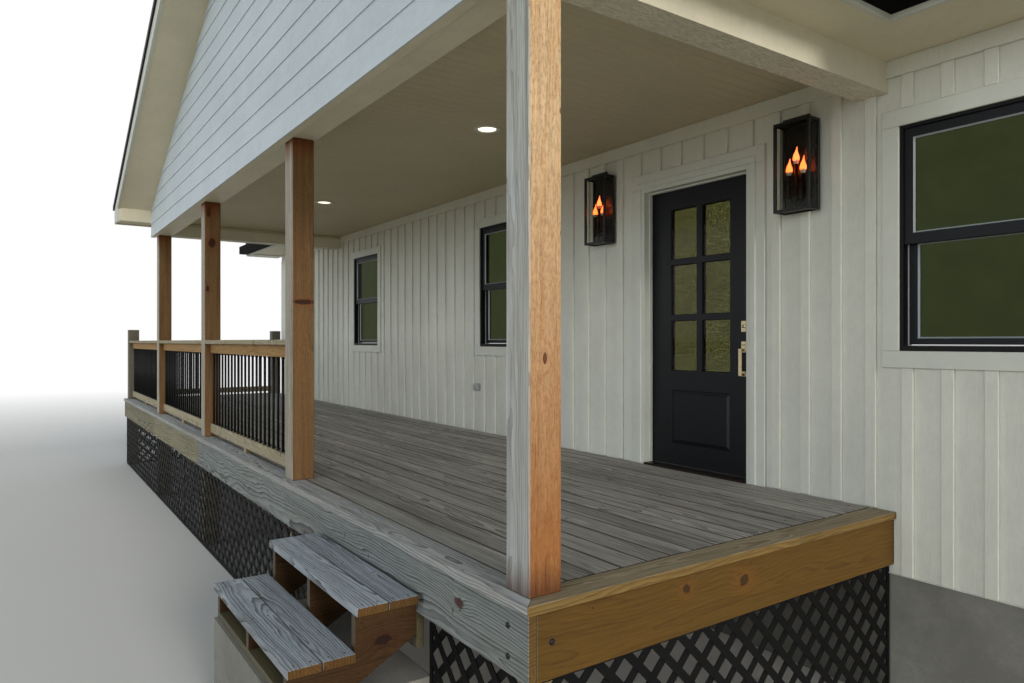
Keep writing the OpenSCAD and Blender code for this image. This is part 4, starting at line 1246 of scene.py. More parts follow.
def ceiling(s):
    """Planks, the trim round them, the filler strip on the right beam and two lights."""
    low, high = span("ceiling")
    boards = Piece(61)
    count = round((high.x - low.x) / s.plank)
    pitch = (high.x - low.x) / count
    groove = 0.0006
    for k in range(count):
        x = low.x + k * pitch
        boards.board((x + groove, low.y, low.z), (x + pitch - groove, high.y, high.z), Y)
    boards.make("ceiling_planks", ["ceiling_paint"], "ceiling_paint", replaces=["ceiling"])
    trim = Piece(62)
    trim_w, trim_h = 0.016, 0.040
    for (x0, x1), (y0, y1), stands in strips(low.x, high.x, low.y, high.y, trim_w):
        y1 = min(y1, high.y - 0.0005)
        trim.board((x0, y0, low.z - trim_h), (x1, y1, low.z - 0.0005), Y if stands else X,
                   0.005)
    trim.make("ceiling_trim", ["ceiling_paint"], "ceiling_paint")
    filler = Piece(60)
    beam_low, beam_high = span("beam_right")
    filler.board((beam_low.x - 0.0035, beam_low.y + 0.002, beam_low.z + 0.0008),
                 (beam_low.x, beam_high.y - 0.001, beam_low.z + 0.008), Y, 0.001)
    filler.make("beam_filler", ["trim_paint"], "trim_paint")
    lights = Piece(63)
    rim = [(0.100, 0.0), (0.100, -0.003), (0.096, -0.007), (0.075, -0.008), (0.067, -0.002),
           (0.067, 0.0)]
    lens = [(0.066, -0.0010), (0.064, -0.0030), (0.02, -0.0040), (0.001, -0.0041)]
    row_y = 1.34
    for x in (-2.35, -5.68):
        lights.turned(rim, (x, row_y, low.z), Z, 40)
        lights.turned(lens, (x, row_y, low.z), Z, 40, finish=1)
    lights.make("ceiling_lights", ["trim_paint", "lens"], "trim_paint")


def gable_siding(s):
    """Lap siding over the front beam, each board tipped out over the one below."""
    low, high = span("gable_wall")
    ridge = (low.x + high.x) / 2
    top = high.z
    stock, shortest, overlap, under_rake = 3.66, 0.4, 0.012, 0.004
    thickness, tip = 0.011, 0.0085
    boards = Piece(64)
    for k in range(int((top - low.z) / s.lap) + 1):
        z0 = low.z + k * s.lap
        z1 = min(z0 + s.lap + overlap, top)
        outline = rectangle(low.x, high.x, z0, z1)
        for way in (1, -1):
            outline = clip(outline, way * SLOPE, 1.0, top + way * SLOPE * ridge - under_rake)
        if not outline:
            continue
        start, end = min(p[0] for p in outline), max(p[0] for p in outline)
        joint = end - stock * boards.random.uniform(0.2, 1.0)
        stops = [end]
        while joint > start + shortest:
            stops.append(joint)
            joint -= stock
        stops.append(start)

        def lift(u, v):
            """Tips the board back towards its top edge."""
            return tip * (v - z0) / s.lap

        for b, a in zip(stops, stops[1:]):
            part = clip_box(outline, a + (0.0003 if a != start else 0), b, z0 - 1, z1 + 1)
            if part and area(part) >= 1e-4:
                boards.cut(part, low.y, low.y - thickness, front, X, lift=lift)
    boards.make("gable_siding", ["siding_paint"], "siding_paint")
    dress("gable_wall", "beam_paint_x")


def shingles(name, node, seed, axis, start, end, v_low, v_high, s, surface, inside):
    """Rows of shingle tabs over a slope. Each row lies across the axis, from start, the
    eave, to end. surface gives the height of the slope, and inside cuts a tab to it."""
    plan = s.course * math.cos(math.atan(SLOPE))
    way = 1 if end > start else -1
    gap, overlap = 0.004, 0.020
    tabs = Piece(seed)
    for k in range(int(abs(end - start) / plan) + 1):
        foot = start + way * k * plan
        u0, u1 = sorted((foot, foot + way * (plan + overlap)))
        v = v_low - tabs.random.uniform(0.0, s.tab)
        while v < v_high:
            w = s.tab * tabs.random.choice((0.55, 0.8, 1.0, 1.0))
            tab = rectangle(u0, u1, v, v + w - gap)
            if axis == Y:
                tab = [(q, p) for p, q in tab]
            tab = inside(tab)
            v += w
            if not tab or area(tab) < 2e-4:
                continue
            rise = 0.004 * tabs.random.choice((1, 1, 2))
            points = [Vector((p, q, surface(p, q) - 0.001)) for p, q in tab]
            points += [Vector((p[0], p[1], surface(*p) + 0.0045
                               + rise * max(0.0, 1 - abs(p[axis] - foot) / plan)))
                       for p in tab]
            tabs.add(points, tube_faces(2, len(tab)), None, tabs.random.random())
    tabs.make(name, ["shingle"], "shingle")
    dress(node, "shingle")


def ridge_caps(ridge, y0, y1, surface):
    """Short shingles bent over the ridge, each over the end of the one before."""
    shown, cap_l, cap_w = 0.143, 0.22, 0.15
    caps = Piece(75)
    y = y0 - 0.004
    while y < y1 - 0.02:
        end = min(y + cap_l, y1)
        for way in (-1, 1):
            points = [Vector((x, at_y, surface(x, at_y) + lift + more))
                      for lift in (0.004, 0.011)
                      for x in (ridge, ridge + way * cap_w)
                      for at_y, more in ((y, 0.006), (end, 0.0))]
            faces = [[0, 1, 3, 2], [4, 5, 7, 6], [0, 1, 5, 4], [2, 3, 7, 6], [0, 2, 6, 4],
                     [1, 3, 7, 5]]
            caps.add(points, faces, None, caps.random.random())
        y += shown
    caps.make("ridge_caps", ["shingle"], "shingle")


def roof(s):
    """Shingles of the porch roof and of the house roof beside it, with a valley between
    them that runs at 45 degrees from the corner of their eaves."""
    low_l, high_l = span("roof_left")
    high_r = span("roof_right")[1]
    ridge, peak = high_l.x, high_l.z
    eave = peak - SLOPE * (ridge - low_l.x)
    valley_y = 1.945
    y0, y1 = low_l.y, high_l.y

    def porch_surface(p, q):
        return peak - SLOPE * abs(p - ridge)

    hands = (("left", low_l.x, 1), ("right", high_r.x, -1))
    for k, (hand, x_eave, way) in enumerate(hands):
        def on_porch(tab):
            tab = clip_box(tab, min(x_eave, ridge), max(x_eave, ridge), y0, y1)
            return clip(tab, -way, 1.0, valley_y - way * x_eave)

        shingles(f"shingles_{hand}", f"roof_{hand}", 71 + k, X, x_eave, ridge, y0, y1, s,
                 porch_surface, on_porch)

    for k, (hand, x_eave, way) in enumerate(hands):
        low, high = span(f"house_roof_{hand}")

        def house_surface(p, q):
            return high.z - SLOPE * (high.y - q)

        def on_house(tab):
            tab = clip_box(tab, low.x, high.x, low.y, high.y)
            return clip(tab, way, -1.0, way * x_eave - valley_y)

        shingles(f"shingles_house_{hand}", f"house_roof_{hand}", 73 + k, Y, low.y, high.y,
                 low.x, high.x, s, house_surface, on_house)

    ridge_caps(ridge, y0, y1, porch_surface)
    edge = Piece(76)
    edge_t, drop, lap = 0.0025, 0.060, 0.003
    for x_eave in (low_l.x, high_r.x):
        edge.cut([(x_eave, eave - drop), (ridge, peak - drop), (ridge, peak + lap),
                  (x_eave, eave + lap)], y0 - edge_t, y0, front, X)
    edge.make("drip_edges", ["black_metal"], "black_metal")


def painted_trim():
    """Finishes of the solids that are used as they are."""
    for node, finish, bevel in (
            ("rake_boards", "trim_paint", 0.003), ("eave_fascias", "trim_paint", 0.003),
            ("house_rakes", "trim_paint", 0.003), ("beam_front", "beam_paint_x", 0.003),
            ("beam_left", "beam_paint_y", 0.003), ("beam_right", "beam_paint_y", 0.003),
            ("soffits", "soffit_paint", 0.002), ("gutters", "gutter_black", 0.002),
            ("house_gable", "siding_paint", 0.0), ("deck_frame", "frame_timber_x", 0.0),
            ("deck_piers", "frame_timber_z", 0.004), ("foundation_wall", "concrete", 0.0)):
        dress(node, finish, bevel)


# Wall


def window_places():
    """X of the left side of each window."""
    low, high = span("window_frames")
    return low.x, MIDDLE_WINDOW_X - WINDOW_W / 2, high.x - WINDOW_W


def wall_openings():
    """X and Z of the trim round the far, middle and near window and the door."""
    low, high = span("window_frames")
    c = WINDOW_CASING_W
    holes = [(x - c, x + WINDOW_W + c, low.z - c, high.z + c) for x in window_places()]
    low, high = span("door_frame")
    c = DOOR_CASING_W
    return holes + [(low.x - c, high.x + c, -1.0, high.z + c)]


def battens(s, holes, low, high):
    """Battens over the joints of the wall boards, cut round the openings. One that a casing
    meets part way is cut narrower beside it."""
    face, t = low.y, s.batten_t
    beside_corner = 0.24
    narrowest = 0.012
    piece = Piece(81)

    def nail(x0, x1, z0, z1):
        """One stretch of a batten."""
        piece.board((x0, face - t, z0), (x1, face + 0.001, z1), Z)

    first = math.ceil((low.x + beside_corner - s.batten_start) / s.batten_pitch)
    last = math.floor((high.x - s.batten_w - s.batten_start) / s.batten_pitch)
    for k in range(first, last + 1):
        x0 = s.batten_start + k * s.batten_pitch
        x1 = x0 + s.batten_w
        foot = 0.006 if x0 < 0.0 else low.z + 0.004
        cuts = [(z0 - 0.001, z1 + 0.001) for a, b, z0, z1 in holes if x1 > a and x0 < b]
        for z0, z1 in pieces_of(foot, s.frieze_z - 0.001, cuts):
            nail(x0, x1, z0, z1)
        for a, b, z0, z1 in holes:
            if a < x1 and x0 < a - narrowest:
                nail(x0, a - 0.001, max(z0, foot), z1)
            if x0 < b and x1 > b + narrowest:
                nail(b + 0.001, x1, max(z0, foot), z1)
    piece.make("wall_battens", ["wall_paint"], "wall_paint")


def frieze_and_corner(s, low, high):
    """The board along the top of the wall, the corner boards and the strip at its foot."""
    face, t = low.y, s.batten_t
    corner_w = 0.22
    frieze_top = 2.4695
    trim = Piece(82)
    trim.board((low.x, face - t - 0.003, s.frieze_z), (high.x, face + 0.001, frieze_top))
    trim.board((low.x - t, face - t - 0.004, low.z),
               (low.x + corner_w, face + 0.001, s.frieze_z - 0.001), Z)
    trim.board((low.x - t, face + 0.0015, low.z), (low.x - 0.0005, high.y, 2.59), Z)
    trim.board((low.x + corner_w, face - 0.012, low.z - 0.001),
               (high.x, face + 0.001, low.z + 0.003), X, 0.001)
    trim.make("frieze_and_corner", ["wall_paint"], "wall_paint")


def casings(s, holes, face):
    """Flat boards round the windows and the door, and a raised band inside the door's."""
    gap, band_w, band_t = 0.0003, 0.045, 0.010
    piece = Piece(83)
    for k, (a, b, z0, z1) in enumerate(holes):
        is_door = k == len(holes) - 1
        w, foot = (DOOR_CASING_W, 0.0) if is_door else (WINDOW_CASING_W, z0)
        for (x0, x1), (z_low, z_high), stands in strips(a, b, foot, z1, w, not is_door):
            piece.board((x0 + gap, face - s.casing_t, z_low + gap),
                        (x1 - gap, face, z_high - gap), Z if stands else X, 0.0025)
    in_by = DOOR_CASING_W - band_w
    for (x0, x1), (z_low, z_high), stands in strips(a + in_by, b - in_by, 0.001, z1 - in_by,
                                                    band_w, foot=False):
        piece.board((x0, face - s.casing_t - band_t, z_low),
                    (x1, face - s.casing_t + 0.002, z_high), Z if stands else X, 0.004)
    piece.make("casing_boards", ["trim_paint"], "trim_paint", replaces=["casings"])


def outlet_cover(face):
    """A weatherproof cover over its plate."""
    x0, x1, z0, z1 = -4.39, -4.27, 0.42, 0.50
    inset, plate_t, cover_t = 0.010, 0.014, 0.030
    cover = Piece(84)
    cover.board((x0, face - plate_t, z0), (x1, face, z1), X, 0.004)
    cover.board((x0 + inset, face - cover_t, z0 + inset),
                (x1 - inset, face - plate_t + 0.0002, z1 - inset), X, 0.008)
    cover.make("outlet_cover", ["cover_plate"], "wall_paint")


def wall_boards(s):
    """Everything that is nailed to the wall's face."""
    low, high = span("wall_left")[0], span("wall_right")[1]
    holes = wall_openings()
    battens(s, holes, low, high)
    frieze_and_corner(s, low, high)
    for node in ("wall_left", "wall_over_door", "wall_right"):
        dress(node, "wall_paint")
    casings(s, holes, low.y)
    outlet_cover(low.y)


# Windows


def sash(frames, x0, x1, z0, z1, width, y):
    """Rails and stiles, the bead inside them and the glass. width is that of the sides, the
    foot and the head."""
    frames.moulding(x0, x1, z0, z1, width,
                    [(0, y + 0.001), (0.03, y), (1, y), (1, y + 0.030), (0, y + 0.030)],
                    finish=1)
    sides, foot, head = width
    x0, x1, z0, z1 = x0 + sides, x1 - sides, z0 + foot, z1 - head
    # Painted highlight: a pale bead inside the sash's rails and stiles
    frames.moulding(x0, x1, z0, z1, 0.008,
                    [(0, y + 0.002), (1, y + 0.010), (1, y + 0.020), (0, y + 0.020)], finish=2)
    frames.board((x0 + 0.007, y + 0.013, z0 + 0.007), (x1 - 0.007, y + 0.018, z1 - 0.007), X,
                 0.0, finish=3)


def windows():
    """Double-hung windows: a frame, an outer upper sash and an inner lower sash in its
    tracks, with a lock on top."""
    low, high = span("window_frames")
    jamb_w, sill_h = 0.019, 0.028
    track_low, track_high = 0.912, 1.457
    lower_top = 1.512
    upper_y, lower_y = low.y + 0.014, low.y + 0.056
    frames = Piece(85)
    for x0 in window_places():
        x1 = x0 + WINDOW_W
        frames.moulding(x0, x1, low.z, high.z, (jamb_w, sill_h, jamb_w),
                        [(0, low.y + 0.001), (0.06, low.y), (0.94, low.y), (1, low.y + 0.001),
                         (1, high.y), (0, high.y)])
        sash(frames, x0 + jamb_w, x1 - jamb_w, track_high, high.z - jamb_w,
             (0.045, 0.059, 0.049), upper_y)
        sash(frames, x0 + 0.0245, x1 - 0.0245, track_low + 0.0025, lower_top,
             (0.0435, 0.0335, 0.050), lower_y)
        # Pale strips on the tracks beside the lower sash: a painted highlight along its edges
        out, back = x0 + 0.0195, x1 - 0.0195
        for lo, hi, along in (((out, track_low), (x0 + 0.0240, track_high), Z),
                              ((x1 - 0.0240, track_low), (back, track_high), Z),
                              ((out, track_low - 0.0035), (back, track_low), X)):
            frames.board((lo[0], lower_y - 0.006, lo[1]), (hi[0], lower_y + 0.012, hi[1]),
                         along, 0.0005, finish=4)
        middle, lock = (x0 + x1) / 2, 0.030
        frames.board((middle - lock, lower_y + 0.003, lower_top + 0.0005),
                     (middle + lock, lower_y + 0.023, lower_top + 0.0080), X, 0.002)
    frames.make("window_sashes", ["window_black", "window_blue", "window_bead", "window_glass",
                                  "cover_plate"], "black_metal",
                replaces=["window_frames", "window_glass"])


# Door


def panes():
    """X and Z of the six openings of the door leaf, by column from the bottom up."""
    low, high = span("door_glass")
    w, h = 0.244, 0.371
    step_x = high.x - low.x - w
    step_z = (high.z - low.z - h) / 2
    return [(low.x + i * step_x, low.x + i * step_x + w, low.z + j * step_z,
             low.z + j * step_z + h) for i in (0, 1) for j in (0, 1, 2)]


def door_mouldings(low, high):
    """Beads and glass on both faces of the leaf, and the raised panel below the panes."""
    beads, glazing = Piece(91), Piece(90)
    for face, way in ((low.y, 1), (high.y, -1)):
        front_y, inner_y, back_y = [face + way * depth for depth in (0.003, 0.009, 0.012)]
        glass_y = sorted((face + way * 0.0118, face + way * 0.0158))
        for x0, x1, z0, z1 in panes():
            beads.moulding(x0, x1, z0, z1, 0.005,
                           [(0, front_y), (0.4, front_y), (1, inner_y), (1, back_y),
                            (0, back_y)])
            glazing.board((x0 + 0.001, glass_y[0], z0 + 0.001),
                          (x1 - 0.001, glass_y[1], z1 - 0.001), X, 0.0)
    rail_h, panel_h, field = 0.140, 0.400, 0.010
    left, right = panes()[0][0], panes()[-1][1]
    top = panes()[0][2] - rail_h
    foot = top - panel_h
    y, back_y = low.y, low.y + 0.0092
    beads.moulding(left, right, foot, top, 0.009,
                   [(0, y + 0.0005), (0.35, y + 0.0005), (1, back_y), (0, back_y)])
    beads.moulding(left + field, right - field, foot + field, top - field, 0.0195,
                   [(0, y + 0.0085), (1, y + 0.0004), (1, back_y), (0, back_y)])
    beads.make("door_mouldings", ["door_paint"], "door_paint", body="entry_door")
    glazing.make("door_panes", ["door_glass"], "door_glass", body="entry_door",
                 replaces=["door_glass"])


def door_handle(face, back):
    """Outside: a grip on two arms under a thumb latch, and a deadbolt over it. Inside: a
    knob and the bolt's thumb turn."""
    low, high = span("door_handle")
    x = (low.x + high.x) / 2
    latch_z, bolt_z, knob_z = 0.895, 1.033, 0.820
    plate_half = 0.038
    handle = Piece(92)

    def bar(half, out, inner, z0, z1, along=Z, ease=0.002, finish=0):
        """A bar that reaches from out to inner, both counted outward from the door's face."""
        handle.board((x - half, face - out, z0), (x + half, face - inner, z1), along, ease,
                     finish)

    # Two plates, the grip with its arms and foot plate, and the thumb latch
    for z in (latch_z, bolt_z):
        bar(0.020, 0.010, -0.0005, z - plate_half, z + plate_half)
    bar(0.013, 0.050, 0.038, 0.700, 0.884)
    bar(0.012, 0.039, 0.009, 0.866, 0.882, Y)
    bar(0.012, 0.039, 0.005, 0.702, 0.718, Y)
    bar(0.018, 0.006, -0.0005, 0.696, 0.732)
    bar(0.010, 0.028, 0.009, latch_z + 0.010, latch_z + 0.016, Y)

    # The deadbolt's key face and slot
    handle.turned([(0.0125, 0.009), (0.0125, 0.0115), (0.001, 0.0115)], (x, face, bolt_z), Y,
                  24, flip=-1.0)
    bar(0.0012, 0.0122, 0.0110, bolt_z - 0.006, bolt_z + 0.006, ease=0.0004, finish=1)

    # The knob and the thumb turn on the inside
    handle.turned([(0.030, 0.0), (0.030, 0.003), (0.026, 0.008), (0.013, 0.010), (0.011, 0.024),
                   (0.012, 0.036), (0.022, 0.040), (0.0265, 0.046), (0.0270, 0.053),
                   (0.0235, 0.059), (0.015, 0.0615), (0.001, 0.062)], (x, back, knob_z), Y, 36)
    handle.turned([(0.028, 0.0), (0.028, 0.004), (0.024, 0.008), (0.001, 0.008)],
                  (x, back, bolt_z), Y, 32)
    handle.board((x - 0.004, back + 0.007, bolt_z - 0.016),
                 (x + 0.004, back + 0.020, bolt_z + 0.016), Z, 0.002)
    handle.make("door_handle_set", ["brass", "black_metal"], "brass", body="entry_door",
                replaces=["door_handle"])


def door_hinges(leaf):
    """Three hinges of five knuckles, each with a pin, two tips, a leaf and its screws."""
    low, high = span("door_hinges")
    pin_r, pin_inset = 0.007, 0.007
    pin_x, pin_y = low.x + pin_inset, high.y - pin_inset
    h, knuckles = 0.100, 5
    knuckle = h / knuckles
    leaf_y = leaf.y + 0.048
    screws = (-0.032, 0.0, 0.032)
    hinges = Piece(93)
    for middle in (low.z + h / 2, (low.z + high.z) / 2, high.z - h / 2):
        foot, head = middle - h / 2, middle + h / 2
        for k in range(knuckles):
            hinges.turned([(0.0062, 0.0006), (pin_r, 0.0014), (pin_r, knuckle - 0.0014),
                           (0.0062, knuckle - 0.0006)], (pin_x, pin_y, foot + k * knuckle), Z, 18)
        hinges.turned([(0.0040, -0.0005), (0.0040, h + 0.0005)], (pin_x, pin_y, foot), Z, 12)
        for end, flip in ((head, 1.0), (foot, -1.0)):
            hinges.turned([(0.006, 0.0), (0.0065, 0.002), (0.004, 0.005), (0.001, 0.006)],
                          (pin_x, pin_y, end), Z, 16, flip=flip)
        hinges.board((pin_x + 0.004, leaf_y - 0.003, foot), (leaf.x + 0.030, leaf_y, head), Z,
                     0.001)
        for screw in screws:
            hinges.turned([(0.0038, 0.0), (0.0030, 0.0008), (0.001, 0.0010)],
                          (leaf.x + 0.019, leaf_y, middle + screw), Y, 12)
    hinges.make("door_hinge_set", ["brass"], "brass", body="entry_door",
                replaces=["door_hinges"])


def door_sill(face):
    """The threshold and the strip that the leaf closes on."""
    low, high = span("door_frame")
    jamb = 0.0305
    sill = Piece(94)
    sill.board((low.x + jamb, low.y - 0.012, 0.0005), (high.x - jamb, high.y - 0.001, 0.0160))
    sill.board((low.x + jamb, face - 0.020, 0.0155), (high.x - jamb, face - 0.006, 0.0190), X,
               0.001)
    sill.make("door_sill", ["sill_bronze"], "black_metal")


def door():
    """The leaf with its mouldings, panes, handle set and hinges, its frame and its sill."""
    low, high = span("door")
    dress("door", "door_paint", 0.0015)
    door_mouldings(low, high)
    door_handle(low.y, high.y)
    door_hinges(low)
    dress("door_frame", "trim_paint", 0.002)
    door_sill(low.y)


# Lanterns


def lantern_case(box, glass, x0, x1, y0, y1, wall, z0, z1):
    """A cage of square bars with an opaque back, a plate to the wall and glass on the three
    other sides."""
    bar, back_t = 0.018, 0.008
    box.board((x0, y1 - back_t, z0), (x1, y1, z1), Z, 0.002)
    box.board((x0 + 0.032, y1 - 0.001, z0 + 0.040), (x1 - 0.032, wall, z1 - 0.040), Z)
    for foot, head in ((z0, z0 + bar), (z1 - bar, z1)):
        middle = (foot + head) / 2
        box.board((x0, y0, foot), (x1, y0 + bar, head), X, 0.002)
        for x in (x0, x1 - bar):
            box.board((x, y0 + bar, foot), (x + bar, y1 - back_t, head), Y, 0.002)
        box.board((x0 + bar, y0 + bar, middle - 0.002), (x1 - bar, y1 - back_t, middle + 0.002),
                  X, 0.001)
    for x in (x0, x1 - bar):
        for y in (y0, y1 - bar):
            box.board((x, y, z0 + bar), (x + bar, y + bar, z1 - bar), Z, 0.002)
    box.board((x0 + 0.032, y0 + 0.050, z1 - 0.001), (x1 - 0.032, y0 + 0.068, z1 + 0.027))
    for (xa, xb), (ya, yb) in (((x0 + bar, x1 - bar), (y0 + 0.007, y0 + 0.010)),
                               ((x0 + 0.007, x0 + 0.010), (y0 + bar, y1 - bar)),
                               ((x1 - 0.010, x1 - 0.007), (y0 + bar, y1 - bar))):
        glass.board((xa, ya, z0 + bar), (xb, yb, z1 - bar), Z, 0.0)


def lantern_candles(box, light, x, y, z0):
    """Three arms from a foot, each with a cup, a sleeve and a flame bulb."""
    spread, arm_r = 0.047, 0.0042
    side_flame, middle_flame = 1.941, 2.004
    box.turned([(0.016, 0.0), (0.016, 0.006), (0.010, 0.012), (0.007, 0.016), (0.007, 0.055)],
               (x, y, z0 + 0.011))
    for off, foot in ((-spread, side_flame), (0.0, middle_flame), (spread, side_flame)):
        box.rod([(x + share * off, y, z0 + rise)
                 for share, rise in ((0, 0.060), (0.4, 0.052), (0.8, 0.056), (1, 0.078),
                                     (1, 0.086))], arm_r, 10)
        box.turned([(0.006, 0.0), (0.016, 0.003), (0.018, 0.007), (0.010, 0.008),
                    (0.010, foot - z0 - 0.085)], (x + off, y, z0 + 0.084), Z, 18)
        light.turned([(0.0100, -0.001), (0.0135, 0.004), (0.0165, 0.012), (0.0180, 0.020)],
                     (x + off, y, foot))
        bulb = [(0.0178, 0.0195), (0.0195, 0.030), (0.0185, 0.042), (0.0145, 0.056),
                (0.0085, 0.070), (0.0045, 0.082), (0.0025, 0.094), (0.0008, 0.104)]
        light.rod([(x + off + 0.006 * max(0.0, rise - 0.06) / 0.044, y, foot + rise)
                   for r, rise in bulb], [r for r, rise in bulb], 20, finish=1)


def lanterns():
    """The two wall lanterns beside the door."""
    low, high = span("wall_lanterns")
    w, depth = 0.245, 0.110
    box, light, glass = Piece(95), Piece(96), Piece(97)
    for x0 in (low.x, high.x - w):
        lantern_case(box, glass, x0, x0 + w, low.y, low.y + depth, high.y, low.z, high.z)
        lantern_candles(box, light, x0 + w / 2, low.y + 0.056, low.z)
    box.make("lantern_cases", ["lantern_black"], "lantern_black", replaces=["wall_lanterns"])
    light.make("lantern_bulbs", ["bulb_base", "flame"], "lantern_black")
    glass.make("lantern_panes", ["lantern_glass"], "window_glass")


# Stage


def seen_directly(n):
    """1 for what the camera sees, also in a reflection or through glass, and 0 for what only
    lights the porch."""
    path = n.put("ShaderNodeLightPath").outputs
    return n.math("MAXIMUM", path["Is Camera Ray"],
                  n.math("MAXIMUM", path["Is Glossy Ray"], path["Is Transmission Ray"]))


def floor():
    """A pale round floor that fades to white far away."""
    n, shader = new_finish("stage_floor")
    fade_start, fade_end = 9.0, 26.0
    at = n.place()
    fade = n.spread(n.vector("LENGTH", (at,), "Value"), fade_start, fade_end)
    seen = seen_directly(n)
    pale = n.mix(n.noise(at, (0.3, 0.3, 0.3), 3.0), linear((0.88, 0.88, 0.87)),
                 linear((0.90, 0.90, 0.89)))
    coat(n, shader, n.mix(seen, linear((0.86, 0.82, 0.735)), pale), 0.9, shine=0.1)
    white = n.put("ShaderNodeEmission", {"Color": (1, 1, 1, 1), "Strength": 1.0})
    blend = n.put("ShaderNodeMixShader", {0: n.times(fade, seen), 1: shader.outputs[0],
                                          2: white.outputs[0]})
    output = next(node for node in n.tree.nodes if node.type == "OUTPUT_MATERIAL")
    n.feed(output.inputs[0], blend.outputs[0])
    radius, sides, below = 90.0, 64, 0.002
    mesh = bpy.data.meshes.new("floor")
    mesh.from_pydata([(radius * cosine, radius * sine, 0.0) for cosine, sine in circle(sides)],
                     [], [list(range(sides))])
    mesh.materials.append(FINISHES["stage_floor"])
    thing = add_object("floor", mesh)
    thing.location.z = CAD_BOX[0][2] - below


def sky(level):
    """Even light from all sides, and a white background."""
    world = bpy.data.worlds.new("studio")
    bpy.context.scene.world = world
    world.use_nodes = True
    world.node_tree.nodes.clear()
    n = Nodes(world.node_tree)
    seen = seen_directly(n)
    tint = n.mix(seen, linear((0.94, 0.975, 1.0)), (1, 1, 1, 1))
    light = n.put("ShaderNodeBackground", {"Color": tint,
                                           "Strength": n.spread(seen, 0.0, 1.0, level, 1.0)})
    n.put("ShaderNodeOutputWorld", {0: light.outputs[0]})


def lamp(name, strength, spread, tint, toward):
    """A wide soft lamp that is the same everywhere. spread is its width in degrees."""
    light = bpy.data.lights.new(name, "SUN")
    light.energy = strength
    light.angle = math.radians(spread)
    light.color = tint
    thing = add_object(name, light)
    thing.rotation_euler = Vector(toward).to_track_quat("-Z", "Y").to_euler()


def camera(lens):
    """The photograph's viewing angle."""
    data = bpy.data.cameras.new("camera")
    data.lens = lens
    data.sensor_width = 36.0
    thing = add_object("camera", data)
    eye, turn = (2.0408, -1.4774, 0.9315), 55.335
    thing.location = CORNER + Vector(eye)
    thing.rotation_euler = (math.radians(90), 0.0, math.radians(turn))
    bpy.context.scene.camera = thing


def stage(s):
    """Pale floor, soft light and the camera."""
    floor()
    sky(s.sky)
    lamp("side_light", s.key, 16, (1.0, 0.94, 0.86), (-0.96, 0.03, -0.26))
    lamp("front_light", s.fill, 40, (0.93, 0.97, 1.0), (-0.27, 0.95, -0.13))
    camera(s.lens)
    bpy.context.scene.view_settings.view_transform = "Standard"


# Add-on


class PORCH_OT_finishes(bpy.types.Operator):
    """Makes every paint, timber, metal and glass finish"""
    bl_idname = "porch.finishes"
    bl_label = "Finishes"

    def execute(self, context):
        timber_finishes()
        other_finishes(context.scene.porch_colours)
        return {"FINISHED"}


class PORCH_OT_deck(bpy.types.Operator):
    """Lays the deck boards, the border, the fascia boards and their bolts"""
    bl_idname = "porch.deck"
    bl_label = "Deck"

    def execute(self, context):
        deck_boards(context.scene.porch_deck)
        deck_border(context.scene.porch_deck)
        deck_fascia(context.scene.porch_deck)
        return {"FINISHED"}


class PORCH_OT_skirt(bpy.types.Operator):
    """Fits the lattice under the deck"""
    bl_idname = "porch.skirt"
    bl_label = "Skirt"

    def execute(self, context):
        skirt(context.scene.porch_deck)
        return {"FINISHED"}


class PORCH_OT_steps(bpy.types.Operator):
    """Builds the treads and sides of the steps"""
    bl_idname = "porch.steps"
    bl_label = "Steps"

    def execute(self, context):
        steps()
        return {"FINISHED"}


class PORCH_OT_posts(bpy.types.Operator):
    """Stands the posts and newels"""
    bl_idname = "porch.posts"
    bl_label = "Posts"

    def execute(self, context):
        posts(context.scene.porch_rail)
        return {"FINISHED"}


class PORCH_OT_railing(bpy.types.Operator):
    """Builds the rails and balusters"""
    bl_idname = "porch.railing"
    bl_label = "Railing"

    def execute(self, context):
        railing(context.scene.porch_rail)
        return {"FINISHED"}


class PORCH_OT_ceiling(bpy.types.Operator):
    """Lays the ceiling planks, their trim and the two lights"""
    bl_idname = "porch.ceiling"
    bl_label = "Ceiling"

    def execute(self, context):
        ceiling(context.scene.porch_roof)
        return {"FINISHED"}


class PORCH_OT_gable(bpy.types.Operator):
    """Fits the lap siding on the gable"""
    bl_idname = "porch.gable"
    bl_label = "Gable"

    def execute(self, context):
        gable_siding(context.scene.porch_roof)
        return {"FINISHED"}


class PORCH_OT_roof(bpy.types.Operator):
    """Lays the shingles, ridge caps and drip edges"""
    bl_idname = "porch.roof"
    bl_label = "Roof"

    def execute(self, context):
        roof(context.scene.porch_roof)
        return {"FINISHED"}


class PORCH_OT_trim(bpy.types.Operator):
    """Paints the beams, eaves, gutters and the parts underneath"""
    bl_idname = "porch.trim"
    bl_label = "Trim"

    def execute(self, context):
        painted_trim()
        return {"FINISHED"}


class PORCH_OT_wall(bpy.types.Operator):
    """Fits the battens, frieze, corner board and casings"""
    bl_idname = "porch.wall"
    bl_label = "Wall"

    def execute(self, context):
        wall_boards(context.scene.porch_wall)
        return {"FINISHED"}


class PORCH_OT_windows(bpy.types.Operator):
    """Builds the three windows"""
    bl_idname = "porch.windows"
    bl_label = "Windows"

    def execute(self, context):
        windows()
        return {"FINISHED"}


class PORCH_OT_door(bpy.types.Operator):
    """Finishes the entry door and its fittings"""
    bl_idname = "porch.door"
    bl_label = "Door"

    def execute(self, context):
        door()
        return {"FINISHED"}


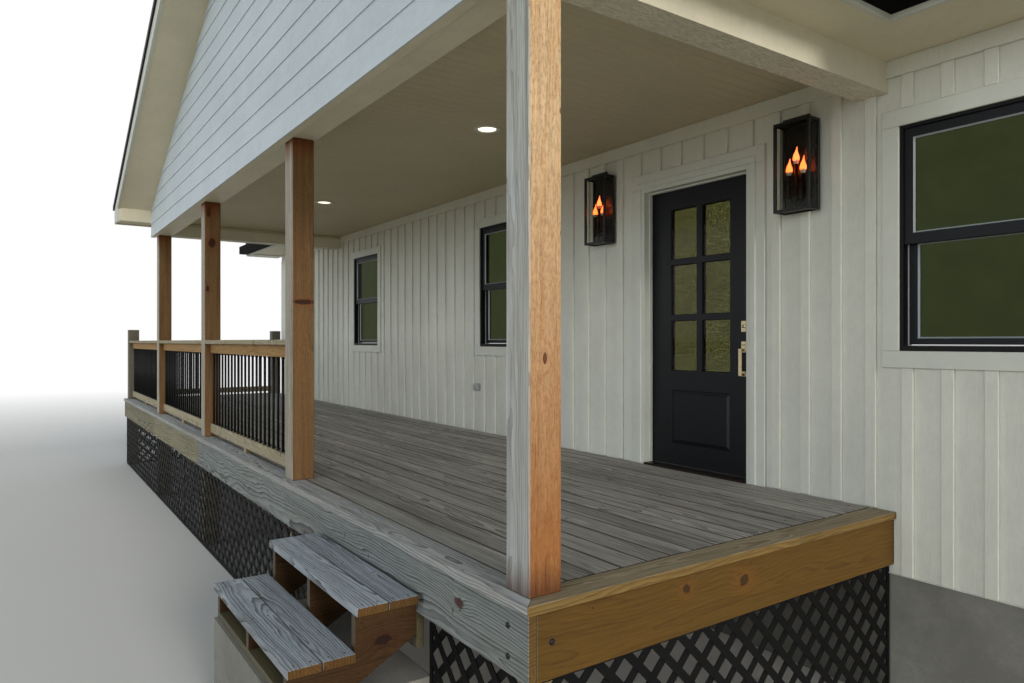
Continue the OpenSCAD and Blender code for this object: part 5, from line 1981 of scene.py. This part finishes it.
class PORCH_OT_lanterns(bpy.types.Operator):
    """Hangs the two wall lanterns"""
    bl_idname = "porch.lanterns"
    bl_label = "Lanterns"

    def execute(self, context):
        lanterns()
        return {"FINISHED"}


class PORCH_OT_stage(bpy.types.Operator):
    """Places the floor, the light and the camera"""
    bl_idname = "porch.stage"
    bl_label = "Stage"

    def execute(self, context):
        stage(context.scene.porch_stage)
        return {"FINISHED"}


class PORCH_PT_builder(bpy.types.Panel):
    """Lists the sizes, the colours and the steps of the porch"""
    bl_idname = "PORCH_PT_builder"
    bl_label = "Front Porch"
    bl_space_type = "VIEW_3D"
    bl_region_type = "UI"
    bl_category = "Porch"

    def draw(self, context):
        layout = self.layout
        for holder in SETTINGS:
            group = getattr(context.scene, holder)
            box = layout.box()
            for key in group.__annotations__:
                box.prop(group, key)
        for operator in STEPS:
            layout.operator(operator.bl_idname)


SETTINGS = {
    "porch_deck": PorchDeckSizes,
    "porch_rail": PorchRailSizes,
    "porch_wall": PorchWallSizes,
    "porch_roof": PorchRoofSizes,
    "porch_colours": PorchColours,
    "porch_stage": PorchStageSizes,
}
STEPS = (
    PORCH_OT_finishes,
    PORCH_OT_deck,
    PORCH_OT_skirt,
    PORCH_OT_steps,
    PORCH_OT_posts,
    PORCH_OT_railing,
    PORCH_OT_ceiling,
    PORCH_OT_gable,
    PORCH_OT_roof,
    PORCH_OT_trim,
    PORCH_OT_wall,
    PORCH_OT_windows,
    PORCH_OT_door,
    PORCH_OT_lanterns,
    PORCH_OT_stage,
)


def register():
    for cls in (*SETTINGS.values(), *STEPS, PORCH_PT_builder):
        bpy.utils.register_class(cls)
    for holder, cls in SETTINGS.items():
        setattr(bpy.types.Scene, holder, PointerProperty(type=cls))


def unregister():
    for holder in SETTINGS:
        delattr(bpy.types.Scene, holder)
    for cls in (PORCH_PT_builder, *reversed(STEPS), *SETTINGS.values()):
        bpy.utils.unregister_class(cls)


def main():
    register()
    for operator in STEPS:
        kind, name = operator.bl_idname.split(".")
        getattr(getattr(bpy.ops, kind), name)()


if __name__ == "__main__":
    main()
